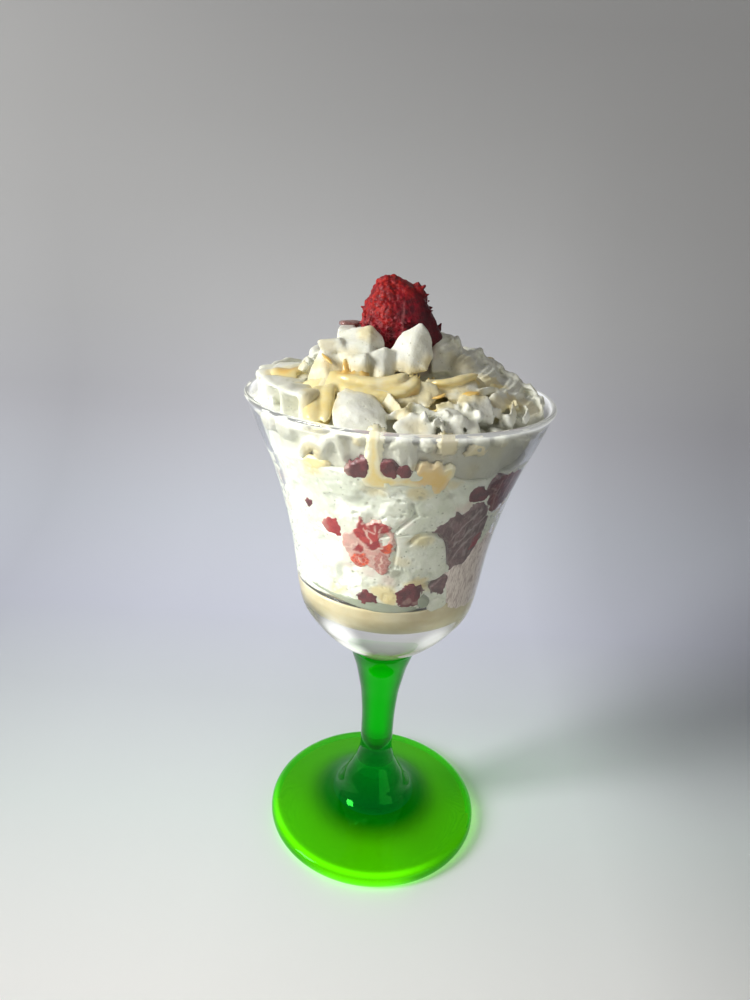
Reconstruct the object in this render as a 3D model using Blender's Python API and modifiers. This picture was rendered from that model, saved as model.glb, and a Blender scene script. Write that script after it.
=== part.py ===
"""Strawberries and cream, layered in a footed dessert goblet.

A clear turned bowl stands on a green stem and foot. It holds, from below, custard,
cream, cream and a high mound of piped cream. Pieces of strawberry lie between the
layers against the wall, and a cut strawberry stands on top.
Origin at the centre of the foot's underside, +Z up, the side seen first is -Y.
Sizes below are in millimetres; meshes are in metres.
"""
import bpy
import bmesh
import math
import random
from mathutils import Vector


def clean_scene():
    """Takes the start-up objects out of the file."""
    for ob in list(bpy.data.objects):
        bpy.data.objects.remove(ob, do_unlink=True)


clean_scene()
MM = 0.001

# ---------------------------------------------------------------- driving sizes
RIM_Z = 145.0          # rim height
RIM_R = 42.0           # rim radius, outside
JOINT_Z = 65.8         # where the clear bowl meets the green stem
JOINT_R = 12.2         # radius of that joint
FOOT_R = 34.3          # foot radius
FOOT_T = 4.6           # thickness of the foot's rounded edge
WALL = 1.5             # wall of the bowl
GAP = 0.32             # air between touching pieces
CAVITY_Z = 81.6        # lowest point of the bowl's hollow
CAVITY_R = 13.0        # flat part of the hollow's bottom
STEPS = 36             # facets round the glass and the layers
MOUND_TOP = 161.0      # cream height under the strawberry
CUSTARD_TOP = 90.6     # level of the bottom custard

# outer half-profile of the bowl: (height above the joint as a share, radius)
BOWL_SHARES = (0.0, 0.06, 0.13, 0.22, 0.33, 0.46, 0.60, 0.75, 0.88, 1.0)
BOWL_RADII = (JOINT_R, 16.5, 21.5, 25.7, 27.2, 28.6, 31.0, 34.4, 38.6, RIM_R)
# stem and foot, from the joint down to the edge of the foot
STEM_Z = (JOINT_Z - GAP, 62.0, 57.8, 52.5, 47.1, 36.4, 27.3, 22.5, 18.6, 15.0, 11.5, 9.0, 7.3)
STEM_R = (JOINT_R - 0.1, 9.8, 8.05, 6.9, 5.95, 5.25, 5.2, 6.1, 7.7, 9.6, 11.2, 13.2, 17.0)


def smooth_line(xs, ys):
    """Monotone curve through the given points (harmonic slopes)."""
    n = len(xs)
    h = [xs[i + 1] - xs[i] for i in range(n - 1)]
    d = [(ys[i + 1] - ys[i]) / h[i] for i in range(n - 1)]
    m = [d[0]] + [0.0] * (n - 2) + [d[-1]]
    for i in range(1, n - 1):
        if d[i - 1] * d[i] > 0:
            w1 = 2 * h[i] + h[i - 1]
            w2 = h[i] + 2 * h[i - 1]
            m[i] = (w1 + w2) / (w1 / d[i - 1] + w2 / d[i])

    def value(x):
        x = min(max(x, xs[0]), xs[-1])
        i = 0
        while i < n - 2 and x > xs[i + 1]:
            i += 1
        t = (x - xs[i]) / h[i]
        a = (1 + 2 * t) * (1 - t) ** 2 * ys[i] + t * (1 - t) ** 2 * h[i] * m[i]
        b = t * t * (3 - 2 * t) * ys[i + 1] + t * t * (t - 1) * h[i] * m[i + 1]
        return a + b

    return value


BOWL_Z = tuple(JOINT_Z + s * (RIM_Z - JOINT_Z) for s in BOWL_SHARES)
outer_r = smooth_line(BOWL_Z, BOWL_RADII)


def inner_r(z):
    """Radius of the bowl's hollow at height z."""
    wall = outer_r(z) - WALL
    if z >= 90.0:
        return wall
    t = max(0.0, (z - CAVITY_Z) / (90.0 - CAVITY_Z))
    low = CAVITY_R + (outer_r(90.0) - WALL - CAVITY_R) * math.sqrt(1.0 - (1.0 - t) ** 2)
    return min(wall, low)


# ---------------------------------------------------------------- scene helpers
PARTS = bpy.data.collections.new("strawberries_and_cream")
CUTTERS = bpy.data.collections.new("cutters")
bpy.context.scene.collection.children.link(PARTS)
bpy.context.scene.collection.children.link(CUTTERS)


def material(name, colour, rough=0.5, metallic=0.0, transmission=0.0):
    mat = bpy.data.materials.new(name)
    mat.use_nodes = True
    bsdf = mat.node_tree.nodes["Principled BSDF"]
    bsdf.inputs["Base Color"].default_value = (*colour, 1.0)
    bsdf.inputs["Roughness"].default_value = rough
    bsdf.inputs["Metallic"].default_value = metallic
    bsdf.inputs["Transmission Weight"].default_value = transmission
    mat.diffuse_color = (*colour, 1.0)
    return mat


def make(name, verts, faces, mat=None, coll=None):
    """A mesh object from millimetre points, with outward faces."""
    me = bpy.data.meshes.new(name)
    me.from_pydata([(x * MM, y * MM, z * MM) for x, y, z in verts], [], faces)
    bm = bmesh.new()
    bm.from_mesh(me)
    bmesh.ops.recalc_face_normals(bm, faces=bm.faces)
    if bm.calc_volume(signed=True) < 0:
        bmesh.ops.reverse_faces(bm, faces=bm.faces)
    bm.to_mesh(me)
    bm.free()
    ob = bpy.data.objects.new(name, me)
    (coll or PARTS).objects.link(ob)
    if mat:
        me.materials.append(mat)
    return ob


def smooth(ob):
    for poly in ob.data.polygons:
        poly.use_smooth = True
    return ob


def turned(name, profile, mat, steps):
    """A turned solid: profile on +X, spun about Z with Screw."""
    me = bpy.data.meshes.new(name)
    pts = [(r * MM, 0.0, z * MM) for r, z in profile]
    me.from_pydata(pts, [(i, i + 1) for i in range(len(pts) - 1)], [])
    ob = bpy.data.objects.new(name, me)
    PARTS.objects.link(ob)
    screw = ob.modifiers.new("turn", 'SCREW')
    screw.angle = math.tau
    screw.steps = steps
    screw.render_steps = steps
    screw.use_merge_vertices = True
    screw.merge_threshold = 0.00001
    screw.use_smooth_shade = True
    if mat:
        me.materials.append(mat)
    return ob


def apply_all(ob):
    """Bakes the modifiers of one object into its mesh."""
    dg = bpy.context.evaluated_depsgraph_get()
    dg.update()
    me = bpy.data.meshes.new_from_object(ob.evaluated_get(dg))
    ob.modifiers.clear()
    ob.data = me
    return ob


def hide_cutter(ob):
    ob.hide_render = True
    ob.display_type = 'WIRE'


def cut(ob, other, how='DIFFERENCE'):
    """Boolean with one object, applied at once."""
    mod = ob.modifiers.new("cut", 'BOOLEAN')
    mod.operation = how
    mod.solver = 'EXACT'
    mod.object = other
    hide_cutter(other)
    apply_all(ob)


def keep_largest(ob):
    """Drops loose scraps that cutting leaves."""
    bm = bmesh.new()
    bm.from_mesh(ob.data)
    left = set(bm.faces)
    shells = []
    while left:
        stack = [left.pop()]
        shell = list(stack)
        while stack:
            face = stack.pop()
            for edge in face.edges:
                for other in edge.link_faces:
                    if other in left:
                        left.remove(other)
                        stack.append(other)
                        shell.append(other)
        shells.append(shell)
    shells.sort(key=len)
    for shell in shells[:-1]:
        bmesh.ops.delete(bm, geom=shell, context='FACES')
    bm.to_mesh(ob.data)
    bm.free()


# ---------------------------------------------------------------- materials
CLEAR = material("clear_glass", (0.92, 0.94, 0.94), 0.05, transmission=0.9)
GREEN = material("green_glass", (0.05, 0.55, 0.03), 0.06, transmission=0.6)
CREAM = material("whipped_cream", (0.93, 0.92, 0.86), 0.55)
CREAM_LOW = material("cream_between_fruit", (0.88, 0.88, 0.80), 0.6)
CUSTARD = material("custard", (0.90, 0.77, 0.48), 0.35)
BERRY = material("strawberry_flesh", (0.62, 0.03, 0.05), 0.35)
BERRY_PALE = material("strawberry_cut", (0.78, 0.16, 0.10), 0.4)
BERRY_DARK = material("strawberry_shaded", (0.36, 0.07, 0.11), 0.4)


# ---------------------------------------------------------------- the glass
def bowl_profile():
    """Inside up from the axis, over the rim, outside down to the axis."""
    pts = [(0.0, CAVITY_Z)]
    pts.append((CAVITY_R * 0.6, CAVITY_Z + 0.1))
    for z in (CAVITY_Z + 0.45, 82.8, 84.5, 87.0):
        pts.append((inner_r(z), z))
    for k in range(10):
        z = 90.0 + k * (RIM_Z - 0.9 - 90.0) / 9
        pts.append((inner_r(z), z))
    pts.append((RIM_R - WALL * 0.5, RIM_Z))
    pts.append((RIM_R, RIM_Z - 0.7))
    for z in (139.0, 133.0, 126.0, 118.0, 109.0, 99.0, 89.0, 83.0, 78.5, 74.0, 70.0):
        pts.append((outer_r(z), z))
    pts += [(JOINT_R, JOINT_Z), (0.0, JOINT_Z)]
    return pts


def stem_profile():
    """From the axis at the joint, down the stem, over the foot, to the axis below."""
    pts = [(0.0, JOINT_Z - GAP)]
    pts += [(r, z) for z, r in zip(STEM_Z, STEM_R)]
    pts += [(24.0, 5.7), (30.6, 4.9)]
    for deg in (62, 22, -22, -62):
        ang = math.radians(deg)
        r = FOOT_R - 1.9 + 1.9 * math.cos(ang)
        pts.append((r, FOOT_T / 2 + FOOT_T / 2 * math.sin(ang)))
    pts += [(FOOT_R - 2.2, 0.0), (0.0, 0.0)]
    return pts


goblet_bowl = turned("goblet_bowl", bowl_profile(), CLEAR, STEPS)
goblet_stem = turned("goblet_stem", stem_profile(), GREEN, 32)


# ---------------------------------------------------------------- food layers
def polar(az, r):
    """Point at azimuth az (0 in front, + to the right) in degrees and radius r."""
    a = math.radians(az)
    return r * math.sin(a), -r * math.cos(a)


def custard_top(x, y):
    rise = 0.05 * x + 0.0030 * x * max(x, 0.0)
    return CUSTARD_TOP + rise + 0.35 * math.sin(x * 0.25 + 1.0) * math.cos(y * 0.2)


def lower_top(x, y):
    az = math.atan2(x, -y)
    edge = min(1.0, math.hypot(x, y) / 28.0)
    return 114.2 + edge * (1.5 * math.sin(2 * az + 0.8) + 0.9 * math.sin(5 * az))


def middle_top(x, y):
    az = math.atan2(x, -y)
    edge = min(1.0, math.hypot(x, y) / 34.0)
    return 133.2 + edge * (1.3 * math.sin(3 * az + 2.0) + 1.1 * math.sin(7 * az + 0.5))


def mound_top(x, y):
    """Height of the plain mound under the piped shells."""
    r = math.hypot(x, y)
    t = min(1.0, r / 40.0)
    z = MOUND_TOP - 5.5 - 15.0 * t ** 1.25
    return z + 0.8 * math.sin(x * 0.3 + 0.5) * math.cos(y * 0.28)


def spun(name, profile, mat, coll=None):
    """A turned body from (share, level) pairs, baked so that its points can move."""
    ob = turned(name, profile, mat, STEPS)
    apply_all(ob)
    if coll:
        PARTS.objects.unlink(ob)
        coll.objects.link(ob)
        hide_cutter(ob)
    return ob


def wall_at(az, func):
    """Where a level meets the hollow's wall at one azimuth: radius and height."""
    r = 28.0
    for _ in range(14):
        x, y = polar(az, r)
        z = func(x, y)
        r = inner_r(z) - GAP
    return r, z


def azimuth(co):
    return math.degrees(math.atan2(co.x, -co.y))


def layer(name, low, high, mat, rings=(0.4, 0.75), wall_steps=5):
    """A layer that fills the bowl between two uneven levels."""
    profile = [(0.0, 1.0)] + [(s, 1.0) for s in rings]
    profile += [(1.0, 1.0 - k / wall_steps) for k in range(wall_steps + 1)]
    profile += [(s, 0.0) for s in reversed(rings)] + [(0.0, 0.0)]
    ob = spun(name, profile, mat)
    for vert in ob.data.vertices:
        share = math.hypot(vert.co.x, vert.co.y) / MM
        t = vert.co.z / MM
        az = azimuth(vert.co)
        r0, z0 = wall_at(az, low)
        r1, z1 = wall_at(az, high)
        if share > 0.99:
            z = z0 + (z1 - z0) * t
            x, y = polar(az, inner_r(z) - GAP)
        else:
            x, y = polar(az, share * (r1 if t > 0.5 else r0))
            z = high(x, y) if t > 0.5 else low(x, y)
        vert.co = Vector((x * MM, y * MM, z * MM))
    return ob


def custard_body():
    """Custard: the hollow's floor below, an uneven level above."""
    profile = [(0.0, 90.0), (8.0, 90.0), (17.0, 90.0), (25.0, 90.0)]
    for z in (88.0, 86.2, 84.6, 83.3, CAVITY_Z + 0.75):
        profile.append((inner_r(z - 0.12) - GAP * 1.25, z))
    profile += [(CAVITY_R * 0.6, CAVITY_Z + GAP + 0.15), (0.0, CAVITY_Z + GAP + 0.05)]
    ob = spun("custard_layer", profile, CUSTARD)
    for vert in ob.data.vertices:
        if vert.co.z > 89.5 * MM:
            r = math.hypot(vert.co.x, vert.co.y) / MM
            az = azimuth(vert.co)
            if r > 24.0:
                r, _ = wall_at(az, custard_top)
            x, y = polar(az, r)
            vert.co = Vector((x * MM, y * MM, custard_top(x, y) * MM))
    return ob


custard_layer = smooth(custard_body())
cream_lower = layer("cream_lower", lambda x, y: custard_top(x, y) + GAP,
                    lambda x, y: lower_top(x, y) - GAP / 2, CREAM_LOW)
cream_middle = layer("cream_middle", lambda x, y: lower_top(x, y) + GAP / 2,
                     lambda x, y: middle_top(x, y) - GAP / 2, CREAM_LOW)
cream_top = layer("cream_top", lambda x, y: middle_top(x, y) + GAP / 2,
                  mound_top, CREAM, rings=(0.3, 0.62, 0.85), wall_steps=3)


# ---------------------------------------------------------------- pieces at the wall
def wall_piece(name, az, z, wide, high, deep, slant=0.0, seed=0, mat=BERRY, grow=0.0,
               power=2.2, rough=0.10, around=10, rings=6, coll=None):
    """A piece lying against the wall: outline wide by high, going deep mm inward.

    slant is the rise in mm from its left end to its right end. With grow it becomes
    the pocket for the piece, larger all round and reaching through the wall side.
    """
    rng = random.Random(seed)
    wob = [rng.uniform(-1, 1) for _ in range(around)]
    bm = bmesh.new()
    bmesh.ops.create_uvsphere(bm, u_segments=around, v_segments=rings, radius=1.0)
    r_mid = inner_r(z)
    for vert in bm.verts:
        px, py, pz = vert.co
        polar_angle = math.acos(max(-1.0, min(1.0, pz)))
        turn = math.atan2(py, px)
        side = int(round(turn / math.tau * around)) % around
        c, s = math.cos(turn), math.sin(turn)
        outline = (abs(c) ** power + abs(s) ** power) ** (-1.0 / power)
        outline *= 1.0 + rough * wob[side]
        if polar_angle <= math.pi / 2 + 0.01:
            share, depth = polar_angle / (math.pi / 2), 0.0
        else:
            share, depth = math.sin(polar_angle), -math.cos(polar_angle)
        u = c * outline * share
        v = s * outline * share
        half_w = wide / 2 + grow
        half_h = high / 2 + grow
        zz = z + v * half_h + slant * u / 2
        a = az + math.degrees(u * half_w / r_mid)
        if depth > 0.0:
            r = inner_r(zz) - GAP - 0.02 - depth * (deep + grow)
        else:
            r = inner_r(zz) + 0.6 if grow else inner_r(zz) - GAP - 0.02
        x, y = polar(a, r)
        vert.co = Vector((x * MM, y * MM, zz * MM))
    me = bpy.data.meshes.new(name)
    if bm.calc_volume(signed=True) < 0:
        bmesh.ops.reverse_faces(bm, faces=bm.faces)
    bm.to_mesh(me)
    bm.free()
    ob = bpy.data.objects.new(name, me)
    (coll or PARTS).objects.link(ob)
    if mat:
        me.materials.append(mat)
    return ob


# name: azimuth, height, width, height of piece, depth, slant, seed, material
WALL_FRUIT = {
    "strawberry_floor_left": (-10.6, 95.6, 4.8, 4.0, 6.0, 0.0, 3, BERRY_DARK),
    "strawberry_floor_right": (11.8, 96.6, 6.2, 6.0, 7.0, 0.0, 4, BERRY_DARK),
    "strawberry_floor_side": (32.0, 97.6, 6.2, 6.0, 7.0, -1.0, 5, BERRY_DARK),
    "strawberry_front": (-12.5, 110.6, 13.4, 18.6, 9.0, 2.5, 6, BERRY_PALE),
    "strawberry_left": (-31.8, 114.6, 5.0, 5.4, 6.0, -1.5, 7, BERRY),
    "strawberry_left_bit": (-44.0, 119.6, 2.8, 2.6, 3.5, 0.0, 8, BERRY_DARK),
    "strawberry_right_slant": (34.0, 118.0, 13.2, 6.6, 6.0, 7.6, 9, BERRY_DARK),
    "strawberry_right_slice": (48.5, 104.6, 11.4, 15.6, 6.0, 2.0, 15, BERRY_DARK),
    "strawberry_right_high": (64.5, 122.4, 15.6, 8.6, 7.0, 3.6, 10, BERRY),
    "strawberry_right_small": (40.5, 126.8, 5.0, 3.2, 4.0, 0.6, 11, BERRY),
    "strawberry_under_rim_left": (-14.2, 134.6, 5.2, 3.4, 5.0, 0.4, 12, BERRY_DARK),
    "strawberry_under_rim_right": (-2.4, 134.4, 3.7, 3.6, 5.0, 0.0, 13, BERRY_DARK),
    "strawberry_under_rim_side": (4.4, 134.3, 3.4, 2.6, 5.0, 0.0, 14, BERRY_DARK),
}
pockets = {}
for key, (az, z, wide, high, deep, slant, seed, mat) in WALL_FRUIT.items():
    opts = dict(around=8, rings=4) if wide < 6.0 else dict(around=10, rings=6)
    piece = wall_piece(key, az, z, wide, high, deep, slant, seed, mat, **opts)
    smooth(piece)
    pocket = wall_piece("pocket_" + key, az, z, wide, high, deep, slant, seed, None,
                        grow=0.62, coll=CUTTERS, **opts)
    pockets[key] = pocket

# the custard that has run in above the middle cream
custard_band = wall_piece("custard_band", 8.5, 129.9, 25.0, 4.4, 5.0, 0.4, 21, CUSTARD,
                          power=3.4, rough=0.06, around=14, rings=4)
smooth(custard_band)
pockets["custard_band"] = wall_piece("pocket_custard_band", 8.5, 129.9, 25.0, 4.4, 5.0, 0.4,
                                     21, None, grow=0.62, power=3.4, rough=0.06, around=14, rings=4,
                                     coll=CUTTERS)


# ---------------------------------------------------------------- strawberries on top
def ring_solid(name, rows, mat, centre, n=14, coll=None, grow=0.0, tilt=0.0):
    """A closed solid from rows (height, half-width x, half-width y, x shift, corner pull)."""
    verts, faces = [], []
    cx, cy, cz = centre
    for z, rx, ry, sx, pull in rows:
        for k in range(n):
            a = math.tau * k / n
            r = 1.0 + pull * math.cos(3 * a + math.pi / 2)
            bump = 1.0 + 0.05 * math.sin(5 * a + z) + 0.04 * math.sin(3 * z + 7 * a)
            x = (rx + grow) * math.cos(a) * r * bump + sx
            y = (ry + grow) * math.sin(a) * r * bump
            verts.append((cx + x + tilt * z, cy + y, cz + z))
    m = len(rows)
    for i in range(m - 1):
        for k in range(n):
            a, b = i * n, (i + 1) * n
            faces.append((a + k, a + (k + 1) % n, b + (k + 1) % n, b + k))
    faces.append(tuple(range(n - 1, -1, -1)))
    faces.append(tuple(range((m - 1) * n, m * n)))
    return make(name, verts, faces, mat, coll)


BERRY_BASE = 153.0
BERRY_AT = (-0.6, -3.0, BERRY_BASE)
BERRY_ROWS = (
    (0.0, 4.0, 3.5, 0.0, 0.0), (3.5, 7.0, 5.8, 0.0, 0.06), (7.5, 9.6, 7.2, 0.2, 0.08),
    (11.0, 9.9, 7.4, 0.0, 0.08), (14.5, 8.7, 6.9, -0.6, 0.06), (18.0, 6.9, 5.8, -1.1, 0.04),
    (20.6, 5.0, 4.3, -1.6, 0.0), (22.4, 2.6, 2.4, -2.4, 0.0),
)
strawberry_top = smooth(ring_solid("strawberry_top", BERRY_ROWS, BERRY, BERRY_AT, n=16))
LOW_ROWS = tuple((z - (0.5 if i == 0 else 0.0), a, b, s, p)
                 for i, (z, a, b, s, p) in enumerate(BERRY_ROWS))
pockets["strawberry_top"] = ring_solid("pocket_strawberry_top", LOW_ROWS, None, BERRY_AT,
                                       n=16, coll=CUTTERS, grow=0.45)

SLICE_AT = (-14.6, 0.5, 161.6)
SLICE_ROWS = ((0.0, 2.2, 2.0, 0.0, 0.0), (0.7, 2.5, 2.3, 0.0, 0.0), (1.5, 2.1, 1.9, 0.1, 0.0))
strawberry_slice = smooth(ring_solid("strawberry_slice", SLICE_ROWS, BERRY_DARK, SLICE_AT, n=10,
                                     tilt=0.0))


# ---------------------------------------------------------------- piped cream
PIPED = bpy.data.collections.new("piped")
bpy.context.scene.collection.children.link(PIPED)


def blob(name, at, size, turn=0.0, seed=0, ridges=0, depth=0.0, rings=5, around=8):
    """A dollop: an uneven ellipsoid, ridged along its height if asked."""
    rng = random.Random(seed + 100)
    ph = [rng.uniform(0, math.tau) for _ in range(4)]
    ca, sa = math.cos(math.radians(turn)), math.sin(math.radians(turn))
    bm = bmesh.new()
    bmesh.ops.create_uvsphere(bm, u_segments=around, v_segments=rings, radius=1.0)
    for vert in bm.verts:
        fi = math.atan2(vert.co.y, vert.co.x)
        th = math.acos(max(-1.0, min(1.0, vert.co.z)))
        k = 1.0 + 0.07 * math.sin(2 * fi + ph[0]) + 0.06 * math.sin(3 * fi + 2 * th + ph[1])
        k += depth * math.cos(ridges * fi + ph[2]) * math.sin(th)
        x = size[0] * vert.co.x * k
        y = size[1] * vert.co.y * k
        z = size[2] * vert.co.z * (1.0 + 0.05 * math.sin(fi + ph[3]) * math.sin(th))
        vert.co = Vector(((at[0] + ca * x - sa * y) * MM, (at[1] + sa * x + ca * y) * MM,
                          (at[2] + z) * MM))
    me = bpy.data.meshes.new(name)
    bm.to_mesh(me)
    bm.free()
    ob = bpy.data.objects.new(name, me)
    PIPED.objects.link(ob)
    return ob


def rope(name, path, radii, teeth=6, groove=0.24, twist=0.0):
    """Star-piped cream along a path of points, tapering as radii say."""
    pts = [Vector(p) for p in path]
    verts, faces = [], []
    n = teeth * 2
    side = None
    for i, p in enumerate(pts):
        a = pts[max(0, i - 1)]
        b = pts[min(len(pts) - 1, i + 1)]
        t = (b - a).normalized()
        if side is None:
            side = t.cross(Vector((0, 0, 1)))
            side = Vector((1, 0, 0)) if side.length < 0.1 else side.normalized()
        side = (side - t * side.dot(t)).normalized()
        up = side.cross(t)
        for k in range(n):
            ang = math.tau * k / n + twist * i
            r = radii[i] * (1.0 if k % 2 == 0 else 1.0 - groove)
            verts.append(tuple(p + side * (r * math.cos(ang)) + up * (r * math.sin(ang))))
    m = len(pts)
    for i in range(m - 1):
        a, b = i * n, (i + 1) * n
        for k in range(n):
            faces.append((a + k, a + (k + 1) % n, b + (k + 1) % n, b + k))
    first, last = len(verts), len(verts) + 1
    verts.append(tuple(pts[0] - (pts[1] - pts[0]).normalized() * radii[0] * 0.45))
    verts.append(tuple(pts[-1] + (pts[-1] - pts[-2]).normalized() * radii[-1] * 0.45))
    for k in range(n):
        faces.append((first, (k + 1) % n, k))
        faces.append((last, (m - 1) * n + k, (m - 1) * n + (k + 1) % n))
    return make(name, verts, faces, None, PIPED)


def fold(az, r0, z0, r1, z1, width, lean=0.0, teeth=7, end=0.72):
    """Cream piped outward from (az, r0, z0), over the edge and down to (r1, z1)."""
    path = []
    for i in range(6):
        t = i / 5
        r = r0 + (r1 - r0) * math.sin(t * math.pi / 2)
        z = z0 + (z1 - z0) * (1 - math.cos(t * math.pi / 2)) + 1.2 * math.sin(t * math.pi)
        path.append((*polar(az + lean * t, r), z))
    radii = [width * f for f in (0.72, 0.95, 1.0, 0.95, 0.85, end)]
    return rope("fold", path, radii, teeth)


def bar(az0, az1, r0, r1, z0, z1, width, teeth=6, sag=0.0):
    """Cream piped round the mound from az0 to az1."""
    path = []
    for i in range(5):
        t = i / 4
        x, y = polar(az0 + (az1 - az0) * t, r0 + (r1 - r0) * t)
        path.append((x, y, z0 + (z1 - z0) * t + sag * math.sin(math.pi * t)))
    radii = [width * f for f in (0.7, 0.95, 1.0, 0.92, 0.62)]
    return rope("bar", path, radii, teeth)


def pipe_cream():
    """All the shells, folds and dollops of the top, by place."""
    # four ridges of one broad fold that runs over the rim on the left
    for k, az in enumerate((-76.0, -63.5, -52.0, -42.0)):
        fold(az, 25.0, 146.4 + 0.3 * k, 36.6, 130.5 + 1.0 * k, 4.7, lean=1.5, teeth=4)
    # folds in front
    fold(-17.0, 27.0, 146.0, 34.6, 135.5, 6.6, teeth=5)
    fold(2.0, 29.0, 145.0, 35.4, 138.0, 5.0, teeth=4)
    fold(24.0, 29.0, 144.6, 35.4, 138.0, 5.0, teeth=4)
    # ruffles that step down the right side
    bar(52.0, 112.0, 12.5, 13.0, 155.6, 154.8, 5.2, teeth=8)
    bar(60.0, 112.0, 19.0, 19.5, 152.2, 151.8, 4.9, teeth=8)
    bar(58.0, 108.0, 25.0, 25.4, 149.8, 149.4, 4.7, teeth=8)
    bar(56.0, 106.0, 30.8, 31.0, 147.0, 146.8, 4.5, teeth=8)
    bar(60.0, 104.0, 35.8, 36.0, 144.4, 144.2, 4.2, teeth=8)
    # the same piping carried round behind
    bar(116.0, 172.0, 14.5, 14.5, 154.4, 154.4, 5.6, teeth=5)
    bar(178.0, 236.0, 14.5, 15.0, 154.4, 153.6, 5.6, teeth=5)
    bar(112.0, 156.0, 25.5, 26.0, 148.8, 149.0, 6.2, teeth=5)
    bar(160.0, 204.0, 26.0, 26.0, 149.0, 148.8, 6.2, teeth=5)
    bar(208.0, 250.0, 26.0, 26.5, 148.8, 148.2, 6.2, teeth=5)
    bar(108.0, 146.0, 35.0, 35.0, 143.6, 143.8, 5.2, teeth=5)
    bar(150.0, 190.0, 35.0, 35.0, 143.8, 143.8, 5.2, teeth=5)
    bar(194.0, 232.0, 35.0, 35.0, 143.8, 144.4, 5.2, teeth=5)
    bar(236.0, 268.0, 35.0, 35.0, 144.4, 145.4, 4.8, teeth=5)
    # dollops, largest first: place and half-sizes
    blob("d1", (-9.8, -12.4, 156.8), (7.2, 6.4, 6.4), 20.0, 1, rings=6, around=10)
    blob("d2", (3.0, -14.2, 157.4), (5.0, 4.4, 6.6), 0.0, 2, 5, 0.06, rings=6, around=10)
    blob("d3", (-18.0, -13.8, 152.6), (6.8, 6.0, 5.2), 30.0, 3)
    blob("d4", (-19.6, -3.2, 153.8), (5.2, 5.0, 4.8), 0.0, 4)
    blob("d5", (-14.8, 0.4, 156.8), (4.6, 4.6, 4.6), 0.0, 5)
    blob("d6", (-5.0, -21.0, 154.0), (4.8, 4.2, 5.0), 0.0, 6)
    blob("d7", (-10.8, -20.6, 154.2), (3.6, 3.4, 4.2), 0.0, 7)
    blob("d8", (-24.6, -13.2, 151.0), (2.9, 2.9, 3.0), 0.0, 8)
    blob("d9", (-5.5, -26.6, 149.2), (11.0, 5.0, 3.6), 4.0, 9)
    blob("d10", (7.6, -27.6, 149.4), (5.2, 4.4, 4.0), 10.0, 10)
    blob("d11", (13.6, -21.6, 150.8), (8.4, 6.0, 4.2), -8.0, 11)
    blob("d12", (15.6, -29.6, 147.2), (5.6, 4.2, 3.6), 20.0, 12)
    blob("d13", (5.0, -35.2, 145.0), (5.8, 3.8, 3.6), 8.0, 13)
    blob("d14", (13.4, -33.2, 145.0), (5.0, 3.8, 3.6), 15.0, 14)
    blob("d15", (22.6, -27.0, 146.2), (5.6, 4.2, 3.4), 40.0, 15)
    blob("d16", (28.6, -20.2, 146.2), (4.6, 4.0, 3.6), 60.0, 16)
    blob("d17", (33.6, -13.4, 145.2), (4.0, 3.6, 3.6), 60.0, 17)
    blob("d18", (-31.0, -5.0, 147.0), (7.0, 6.6, 4.6), 0.0, 18)
    blob("d19", (-28.0, 9.0, 148.4), (6.6, 6.6, 4.8), 0.0, 19)
    # custard laid over the cream, fused with it
    rope("r1", [(-14.4, -24.2, 152.0), (-9.6, -26.2, 151.9), (-4.0, -27.8, 151.8),
                (1.0, -27.4, 152.6), (4.6, -24.6, 153.8)], [1.3, 1.8, 2.1, 1.9, 1.3], 4, 0.1)
    rope("r2", [(7.2, -23.4, 153.2), (11.2, -22.8, 153.8), (15.6, -21.4, 153.9),
                (19.4, -19.0, 153.0)], [1.2, 1.8, 1.9, 1.3], 4, 0.1)


pipe_cream()


def thin(ob, triangles):
    """Fewer, larger facets where the form is flat."""
    net = ob.modifiers.new("even", 'REMESH')
    net.mode = 'VOXEL'
    net.voxel_size = 0.8 * MM
    apply_all(ob)
    now = sum(len(p.vertices) - 2 for p in ob.data.polygons)
    if now > triangles:
        mod = ob.modifiers.new("thin", 'DECIMATE')
        mod.ratio = triangles / now
        mod.use_collapse_triangulate = True
        apply_all(ob)


def fuse(ob, coll, solver='EXACT'):
    """One union of the object with a whole collection, applied; the collection goes."""
    mod = ob.modifiers.new("fuse", 'BOOLEAN')
    mod.operation = 'UNION'
    mod.operand_type = 'COLLECTION'
    mod.collection = coll
    mod.solver = solver
    apply_all(ob)
    for other in list(coll.objects):
        bpy.data.objects.remove(other, do_unlink=True)
    bpy.data.collections.remove(coll)


fuse(cream_top, PIPED, 'MANIFOLD')
thin(cream_top, 4300)


def cavity():
    """The room the cream may fill: the bowl's hollow, and a little over its rim."""
    profile = [(0.0, 185.0), (RIM_R - 4.0, 185.0), (RIM_R - 0.5, RIM_Z + 8.0),
               (RIM_R - 0.5, RIM_Z + 1.4), (inner_r(RIM_Z) - GAP, RIM_Z + 0.4)]
    for k in range(9):
        z = RIM_Z - 0.4 - k * (RIM_Z - 0.4 - 120.0) / 8
        profile.append((inner_r(z) - GAP, z))
    profile.append((0.0, 120.0))
    return spun("cavity", profile, None, CUTTERS)


def below_plate():
    """Everything under the top cream's floor, to trim shells that hang through it."""
    edge = 50.0
    profile = [(0.0, 1.0), (13.0, 1.0), (26.0, 1.0), (37.0, 1.0), (edge, 1.0),
               (edge, 100.0), (0.0, 100.0)]
    ob = spun("plate", profile, None, CUTTERS)
    for vert in ob.data.vertices:
        if vert.co.z < 50.0 * MM:
            x, y = vert.co.x / MM, vert.co.y / MM
            vert.co.z = (middle_top(x, y) + GAP / 2) * MM
    return ob


room = cavity()
cut(cream_top, room, 'INTERSECT')
plate = below_plate()
cut(cream_top, plate)

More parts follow.
